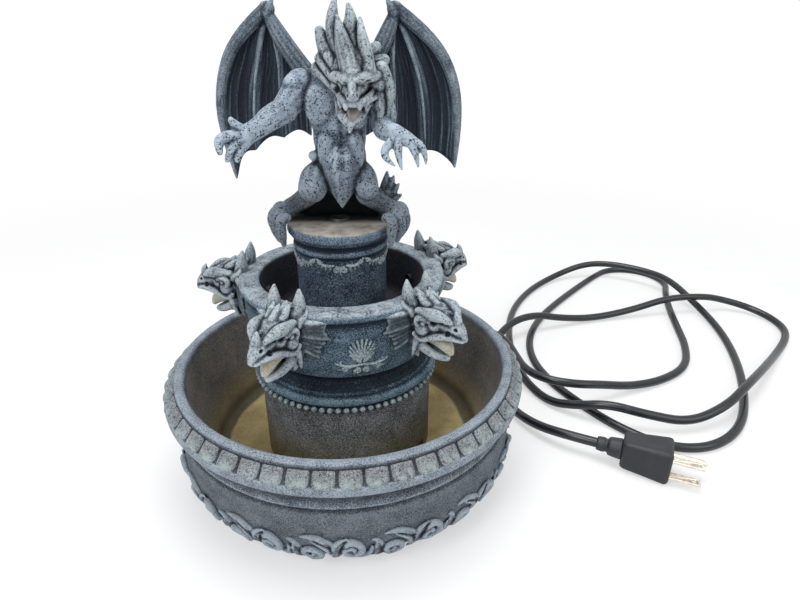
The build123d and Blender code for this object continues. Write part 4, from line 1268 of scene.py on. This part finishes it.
def figure_tail():
    """Tail curled round behind the figure, with a spiked end."""
    lines = [
        ([(2, 12, 180), (6, 22, 174), (15, 24, 171), (24, 19, 173), (27, 13, 177)], [7.5, 6, 5.2, 5, 4]),
        ([(25, 14, 177), (26, 12.5, 183), (26.6, 12, 189.5)], [3.6, 3.0, 0.5]),
        ([(27, 13, 177), (29, 12, 182), (30.4, 11.5, 187)], [3.4, 2.8, 0.5]),
        ([(27, 12.5, 175), (31, 11.5, 178), (33.4, 11, 182.5)], [3.2, 2.6, 0.5]),
        ([(27, 12.5, 172), (31.5, 11, 173.5), (35, 10.5, 176.5)], [3.2, 2.6, 0.5]),
    ]
    return clay(lines, [], voxel=0.6, soften=2)


def figure_head():
    """Snarling head with fangs, a crest of spikes and a mane."""
    lip = [(4.5, -17, 234.5), (6, -26, 232), (11.5, -32.5, 230.5), (17.5, -27, 231), (21, -16, 233)]
    face = [
        ([(11, -15, 240), (11.4, -24, 237), (11.8, -31, 234)], [8.6, 6.0, 3.0]),
        (lip, [2.6, 2.2, 1.9, 2.2, 2.6]),
        ([(2.6, -18, 241.5), (6, -25.5, 241.5), (11, -28, 240)], [2.6, 3.4, 2.4]),
        ([(23, -15, 242), (17.6, -24, 242), (12, -28, 240)], [2.6, 3.4, 2.4]),
        ([(11.4, -27, 241), (11.6, -30.5, 238), (12, -33.5, 235)], [2.4, 2.0, 1.6]),
    ]
    cheek = [
        ([(25, -13, 245), (28.4, -13, 238), (29, -13, 230), (27, -13, 222)], [3.4, 3.2, 2.8, 1.0]),
        ([(22, -12, 236), (25, -14, 230), (24, -15, 222)], [4.2, 3.6, 1.4]),
    ]
    jaw = [
        ([(5, -10, 234), (4.4, -18.5, 229), (6, -24.5, 222.5), (10, -26.5, 221)], [3.6, 2.8, 2.2, 2.0]),
        ([(10, -26.5, 221), (14, -24.5, 222.5), (16.6, -18, 227.5), (19.5, -10, 233)], [2.0, 2.2, 2.8, 3.4]),
        ([(10, -25, 220.8), (9.8, -26.5, 218.4), (9.4, -26, 216.4)], [2.0, 1.4, 0.5]),
    ]
    crest = [
        ([(11, -23, 242), (9, -18, 249.5), (6, -12.5, 257.5), (3.8, -6, 268)], [5.2, 4.9, 3.9, 0.9]),
        ([(19, -19, 244), (18, -15.5, 251.5), (15.6, -11, 259), (14.6, -6, 267.5)], [3.8, 3.4, 2.8, 0.9]),
        ([(7, -8, 250), (3, -6, 257), (0.6, -4, 267), (3, -2.5, 277)], [6, 5.0, 3.5, 0.7]),
        ([(11, -8, 251), (9, -5.5, 259), (10.6, -4, 266.5), (9, -3.5, 272.6)], [5, 4.4, 3.5, 1.2]),
        ([(3, -7, 246), (-3, -4, 253), (-5.4, -2, 261)], [6, 5.4, 2.6]),
    ]
    mane = [
        ([(-1, -10, 250), (3, -14, 244), (6, -18, 240)], [2.4, 2.2, 1.6]),
        ([(-6, -6, 249), (-1, -12, 243), (3.4, -17, 238)], [2.4, 2.2, 1.6]),
        ([(-8, -4, 245), (-3, -11, 239.5), (2.6, -15, 235)], [2.4, 2.2, 1.6]),
        ([(17, -6, 249), (20, -4, 252), (22, 0, 254)], [4.6, 4, 2.6]),
        ([(20, -8, 245), (24, -6, 247), (26, -2, 248)], [5, 4.6, 2.8]),
        ([(9, 0, 252), (7, 6, 258), (6, 10, 266)], [6, 4.6, 0.8]),
        ([(8, 4, 246), (5, 11, 250), (4, 15, 257)], [6, 4.2, 0.8]),
    ]
    lines = [*face, *cheek, *jaw, *crest, *mane]
    fangs = [(5.4, -26, 231.5, 4.4), (18, -26.5, 230.5, 4.4)]
    fangs += [(8.4, -31, 229.6, 2.4), (15, -30.4, 229.6, 2.4)]
    for x, y, z, length in fangs:
        fang = [(x, y, z), (x, y - 0.6, z - 0.5 * length), (x, y + 0.4, z - length)]
        lines.append((fang, [1.5, 1.1, 0.3]))
    for x, y, z in ((5.6, -24, 223.2), (8, -26, 222.4), (12, -26, 222.4), (14.8, -23.6, 223.6)):
        lines.append(([(x, y, z), (x, y, z + 2), (x, y, z + 4)], [1.2, 0.9, 0.3]))
    lumps = [
        ((11.5, -12, 243.5), 10.6),
        ((8.5, -4, 246.5), 10.4),
        ((5.8, -22.6, 239.2), 1.9),
        ((17.4, -21.6, 239.2), 1.9),
        ((4.4, -15, 237), 4.4),
        ((22.6, -12.5, 238), 5.2),
        ((10.5, -15, 225.5), 5.6, (0.9, 1.1, 0.42)),
        ((11, -8, 234), 7.6),
    ]
    mesh = clay(lines, lumps, voxel=0.5, soften=7)
    eyes = [((5.4, -24.5, 238.4), 3.4, 2.6), ((18.2, -23.4, 238.6), 3.6, 2.8)]
    nostrils = [((9.2, -32.4, 234.4), 1.5, 0.9), ((14.4, -32, 234.4), 1.5, 0.9)]
    cheeks = [((22.5, -20, 234), 4.0, 3.0), ((3.6, -20, 235), 3.4, 1.4)]
    return pressed(mesh, [*eyes, *nostrils, *cheeks])


def figure_tongue():
    """Tongue in the open mouth."""
    points = [(11.5, -12, 228), (11.4, -19, 226.8), (11.4, -24.5, 225.4), (11, -28.5, 223.4)]
    return ropes([(points, [3.4, 3.6, 3.4, 1.2])], sides=5, smooth=8)


def lap_painted_shade(f, colour):
    """Near-black wash and painted shade in the hollow behind the legs; painted shade darkens the lower body.
    """
    x, y, z = f.axes()
    deep = y.rise(-8, -2) * (1 - y.rise(8, 13))
    # Dark wash and painted shade: near black in the hollow between and behind the legs.
    hollow = x.within(20, 26) * deep * (1 - z.rise(181, 190))
    # Painted shade: darker over the lower body and legs, towards the platform.
    low = (1 - z.rise(176, 206)) * 0.5
    return f.mix(hollow, f.mix(low, colour, (0.02, 0.024, 0.032)), (0.004, 0.005, 0.007))


def mouth_painted_shade(f, colour):
    """Painted shade: near black inside the open mouth."""
    x, y, z = f.axes()
    across = (x - 10.5 * MM).within(5.5, 8.5)
    # Painted shade inside the mouth.
    mouth = across * y.rise(-25.5, -22.5) * z.rise(223.5, 225.5) * (1 - z.rise(230.5, 232.5))
    return f.mix(mouth, colour, (0.006, 0.006, 0.008))


skin = cast_stone(
    "figure_stone",
    SOOT,
    (0.12, 0.152, 0.2),
    (0.4, 0.48, 0.56),
    proud=0.7,
    pits=0.97,
    grain=0.34,
    level=0.5,
    stain=lap_painted_shade,
)
skin_nodes = ["figure_torso", "figure_arm_left", "figure_arm_right", "figure_leg_left", "figure_leg_right"]
piece_from("figure_body", figure_body(), "tower", skin, skin_nodes)
piece_from("figure_tail_end", figure_tail(), "tower", skin, ["figure_tail"])
face_finish = cast_stone(
    "face_wash_and_shade",
    SOOT,
    (0.14, 0.165, 0.19),
    CHALK,
    proud=0.75,
    grain=0.3,
    pits=0.8,
    level=0.45,
    stain=mouth_painted_shade,
)
piece_from("figure_face", figure_head(), "tower", face_finish, ["figure_head"])
tongue_grey = cast_stone(
    "tongue_grey",
    (0.06, 0.05, 0.055),
    (0.2, 0.17, 0.18),
    (0.42, 0.38, 0.38),
    proud=0.2,
    grain=0.3,
    level=0.5,
)
piece_from("figure_tongue", figure_tongue(), "tower", tongue_grey)

# Wings: u outwards from the shoulder blade, v up from the platform, w proud of the sheet
WING_ROOT = (9.0, 12.0)
WING_SWEEP = 14.0
WING_SPAN = 59.0
WING_FINGERS = [
    [(23, 106), (13, 88), (7, 67), (6.5, 43.5)],
    [(23, 106), (21.5, 85), (23.5, 64), (23, 41.5)],
    [(23, 106), (32.5, 86), (39.5, 61), (40.5, 34)],
    [(23, 106), (43, 93.5), (56, 71), (58.6, 45), (55.6, 20.5)],
]
WING_RADII = [(1.8, 1.1, 0.9, 0.7), (1.6, 1.0, 0.9, 0.7), (1.6, 1.1, 0.9, 0.7), (4.0, 3.4, 3.0, 2.4, 0.8)]


def wing_place(side, u, v, w=0.0):
    """Place on a wing; the two are not quite alike at the wrist and at the tip."""
    tip, wrist = ease((35 - v) / 15), ease((v - 78) / 28)
    u += tip * (1.8 if side > 0 else -2.6) + wrist * (0.0 if side > 0 else 3.6)
    v += tip * (3.0 if side > 0 else -3.0)
    sweep = radians(WING_SWEEP)
    out = Vector((side * cos(sweep), sin(sweep), 0))
    front = Vector((side * sin(sweep), -cos(sweep), 0))
    return Vector((side * WING_ROOT[0], WING_ROOT[1], PLATFORM_Z + v)) + u * out + w * front


def wing_cup(u):
    """How far the sheet bellies: the wing is hollow towards the front."""
    share = u / WING_SPAN
    return 4.0 * share**2 - 2.0 * sin(pi * min(max(share, 0), 1))


def wing_sheet(side):
    """Membrane between the fingers, sagging in each bay and cut in arches along its lower edge."""
    bays, across, down = len(WING_FINGERS) - 1, 14, 44
    bm = bmesh.new()
    bay = bm.verts.layers.float_vector.new("sheet")
    rows = []
    for k in range(bays):
        for i in range(across + (k == bays - 1)):
            t = i / across
            arch = 0.07 * 4 * t * (1 - t)
            row = []
            for j in range(down + 1):
                s = j / down * (1 - arch)
                ends = [along([Vector((*p, 0)) for p in WING_FINGERS[k + m]], s) for m in (0, 1)]
                spot = ends[0].lerp(ends[1], t)
                sag = 3.0 * sin(pi * t) * sin(pi * min(1, 0.15 + 0.8 * s))
                vert = bm.verts.new(wing_place(side, spot.x, spot.y, wing_cup(spot.x) - sag))
                vert[bay] = (k + t, s, 4 * t * (1 - t))
                row.append(vert)
            rows.append(row)
    for left, right in zip(rows, rows[1:]):
        for j in range(down):
            bm.faces.new((left[j], right[j], right[j + 1], left[j + 1]))
    bmesh.ops.remove_doubles(bm, verts=bm.verts, dist=1e-3)
    sheet = as_mesh(bm, merge=0)
    return through(sheet, ("SOLIDIFY", {"thickness": 1.3, "offset": 0.0}))


def wing_bones(side):
    """Fingers of a wing with its arm and thumb."""
    lines = []
    for finger, radii in zip(WING_FINGERS, WING_RADII):
        lines.append(([wing_place(side, u, v, wing_cup(u)) for u, v in finger], radii))
    arm = [(-4, 64, -1), (5, 73, 0), (13, 84, 0), (20, 97, 0), (24, 107.6, 0)]
    lines.append(([wing_place(side, *p) for p in arm], [6.5, 5.4, 4.8, 4.4, 2.2]))
    thumb = [(22, 104, 0.5), (20, 109, 1.5), (17.5, 110.5, 2.5)]
    lines.append(([wing_place(side, *p) for p in thumb], [3.0, 2.0, 0.5]))
    return clay(lines, [], voxel=0.6, soften=3)


def wing_skin():
    """Blue-black membrane with pale streaks that run down each bay, paler beside the bones."""
    f = Finish("wing_membrane", Specular_IOR_Level=0.25)
    sheet = f.node("Attribute", attribute_name="sheet", out="Vector")
    depth = f.axes(sheet)[2]
    run = f.node("Mapping", {"Vector": sheet, "Scale": (16.0, 1.8, 0.0)})
    streak = f.noise(1.0, 4.0, 0.6, bend=0.6, spot=run)
    fold = f.noise(1.0, 2.0, 0.5, spot=f.node("Mapping", {"Vector": sheet, "Scale": (9.0, 0.8, 0.0)}))
    fine = f.noise(1400.0, 4.0, 0.75)
    tone = (streak - 0.5) * 1.5 + (fold - 0.5) * 0.9 + (fine - 0.5) * 0.8 + (1 - depth) * 0.3 + 0.22
    dark, mid, pale = (0.005, 0.007, 0.013), (0.024, 0.036, 0.056), (0.24, 0.31, 0.36)
    colour = f.ramp(tone, (0.1, dark), (0.42, mid), (0.95, pale))
    f.bump(streak * 0.6 + fine * 0.4, 0.0008, 0.6)
    return f.coloured(colour, 0.9 - 0.2 * fine)


wing_dark = wing_skin()
bone_finish = cast_stone(
    "bone_wash",
    (0.006, 0.009, 0.016),
    (0.06, 0.078, 0.105),
    (0.34, 0.42, 0.47),
    proud=0.55,
    grain=0.34,
    level=0.32,
)
for side, name in ((-1, "left"), (1, "right")):
    nodes = [f"figure_wing_{name}"]
    piece_from(f"wing_bones_{name}", wing_bones(side), "tower", bone_finish, nodes)
    piece_from(f"wing_sheet_{name}", wing_sheet(side), "tower", wing_dark)

# Finishes of the CAD parts that stay: feet, grommet, hoses and the pump inside the drum
rubber = plain("black_rubber", (0.02, 0.02, 0.02), 0.7)
pump_black = plain("pump_plastic", (0.018, 0.018, 0.02), 0.45)
hose = plain("clear_hose", (0.55, 0.58, 0.58), 0.3)
tube = plain("spout_tube", (0.012, 0.013, 0.015), 0.5)
white = plain("white_plastic", (0.62, 0.62, 0.6), 0.45)
magnet = plain("ferrite", (0.03, 0.03, 0.032), 0.6)
ceramic = plain("ceramic", (0.75, 0.74, 0.7), 0.25)
lead_inside = vinyl("pump_lead_vinyl")
KEPT = {
    rubber: ["foot_pads", "cord_grommet", "pump_seal", "suction_cups", "shaft_bushes", "pump_gland"],
    pump_black: ["pump_housing", "pump_volute", "pump_strainer", "hose_barb"],
    white: ["impeller", "flow_knob"],
    magnet: ["rotor_magnet"],
    ceramic: ["rotor_shaft"],
    hose: ["riser_hose"],
    tube: ["spout_tubes", "outlet_nozzle"],
    lead_inside: ["pump_lead"],
}
for finish, nodes in KEPT.items():
    for node in nodes:
        dress(node, finish)


# White table and soft studio light
def table_top():
    """Table that takes the shadows but looks white to the camera, more so away from the fountain."""
    bm = bmesh.new()
    bmesh.ops.create_grid(bm, x_segments=1, y_segments=1, size=4.0)
    mesh = bpy.data.meshes.new("table")
    bm.to_mesh(mesh)
    bm.free()
    floor = bpy.data.objects.new("table", mesh)
    bpy.context.collection.objects.link(floor)
    f = Finish("table_white", Roughness=0.6)
    f.put(f.shader, {"Base Color": (0.93, 0.93, 0.94, 1), "Specular IOR Level": 0.2})
    away = f.node("VectorMath", {0: f.spot}, out="Value", operation="LENGTH")
    glow = f.node("Emission", {"Color": (1, 1, 1, 1), "Strength": 1.0})
    share = f.seen() * (0.5 + 0.5 * away.rise(250, 900))
    lit = f.node("MixShader", {0: share, 1: Wire(f, f.shader.outputs[0]), 2: glow})
    f.put(f.tree.nodes["Material Output"], {"Surface": lit})
    mesh.materials.append(f.material)


def lamp(name, place, target, size, power):
    """Round soft lamp that faces a target."""
    light = bpy.data.lights.new(name, "AREA")
    light.shape = "DISK"
    light.size = size
    light.energy = power
    obj = bpy.data.objects.new(name, light)
    bpy.context.collection.objects.link(obj)
    obj.location = place
    obj.rotation_euler = (Vector(target) - Vector(place)).to_track_quat("-Z", "Y").to_euler()


def surroundings():
    """Soft sky light that looks plain white to the camera."""
    world = bpy.data.worlds.new("studio")
    bpy.context.scene.world = world
    world.use_nodes = True
    sky = Nodes(world.node_tree)
    soft = sky.tree.nodes["Background"]
    sky.put(soft, {"Color": (0.97, 0.985, 1.0, 1), "Strength": 0.4})
    white = sky.node("Background", {"Color": (1, 1, 1, 1), "Strength": 1.0})
    lit = sky.node("MixShader", {0: sky.seen(), 1: Wire(sky, soft.outputs[0]), 2: white})
    sky.put(sky.tree.nodes["World Output"], {"Surface": lit})


table_top()
surroundings()
lamp("overhead", (0, 0.1, 1.35), (0, 0, 0.1), 0.8, 10.0)
lamp("key", (-0.6, -0.8, 1.0), (0, 0, 0.12), 0.6, 7.0)
lamp("fill", (0.8, -0.5, 0.8), (0, 0, 0.12), 0.9, 3.5)
bpy.context.scene.view_settings.view_transform = "Standard"
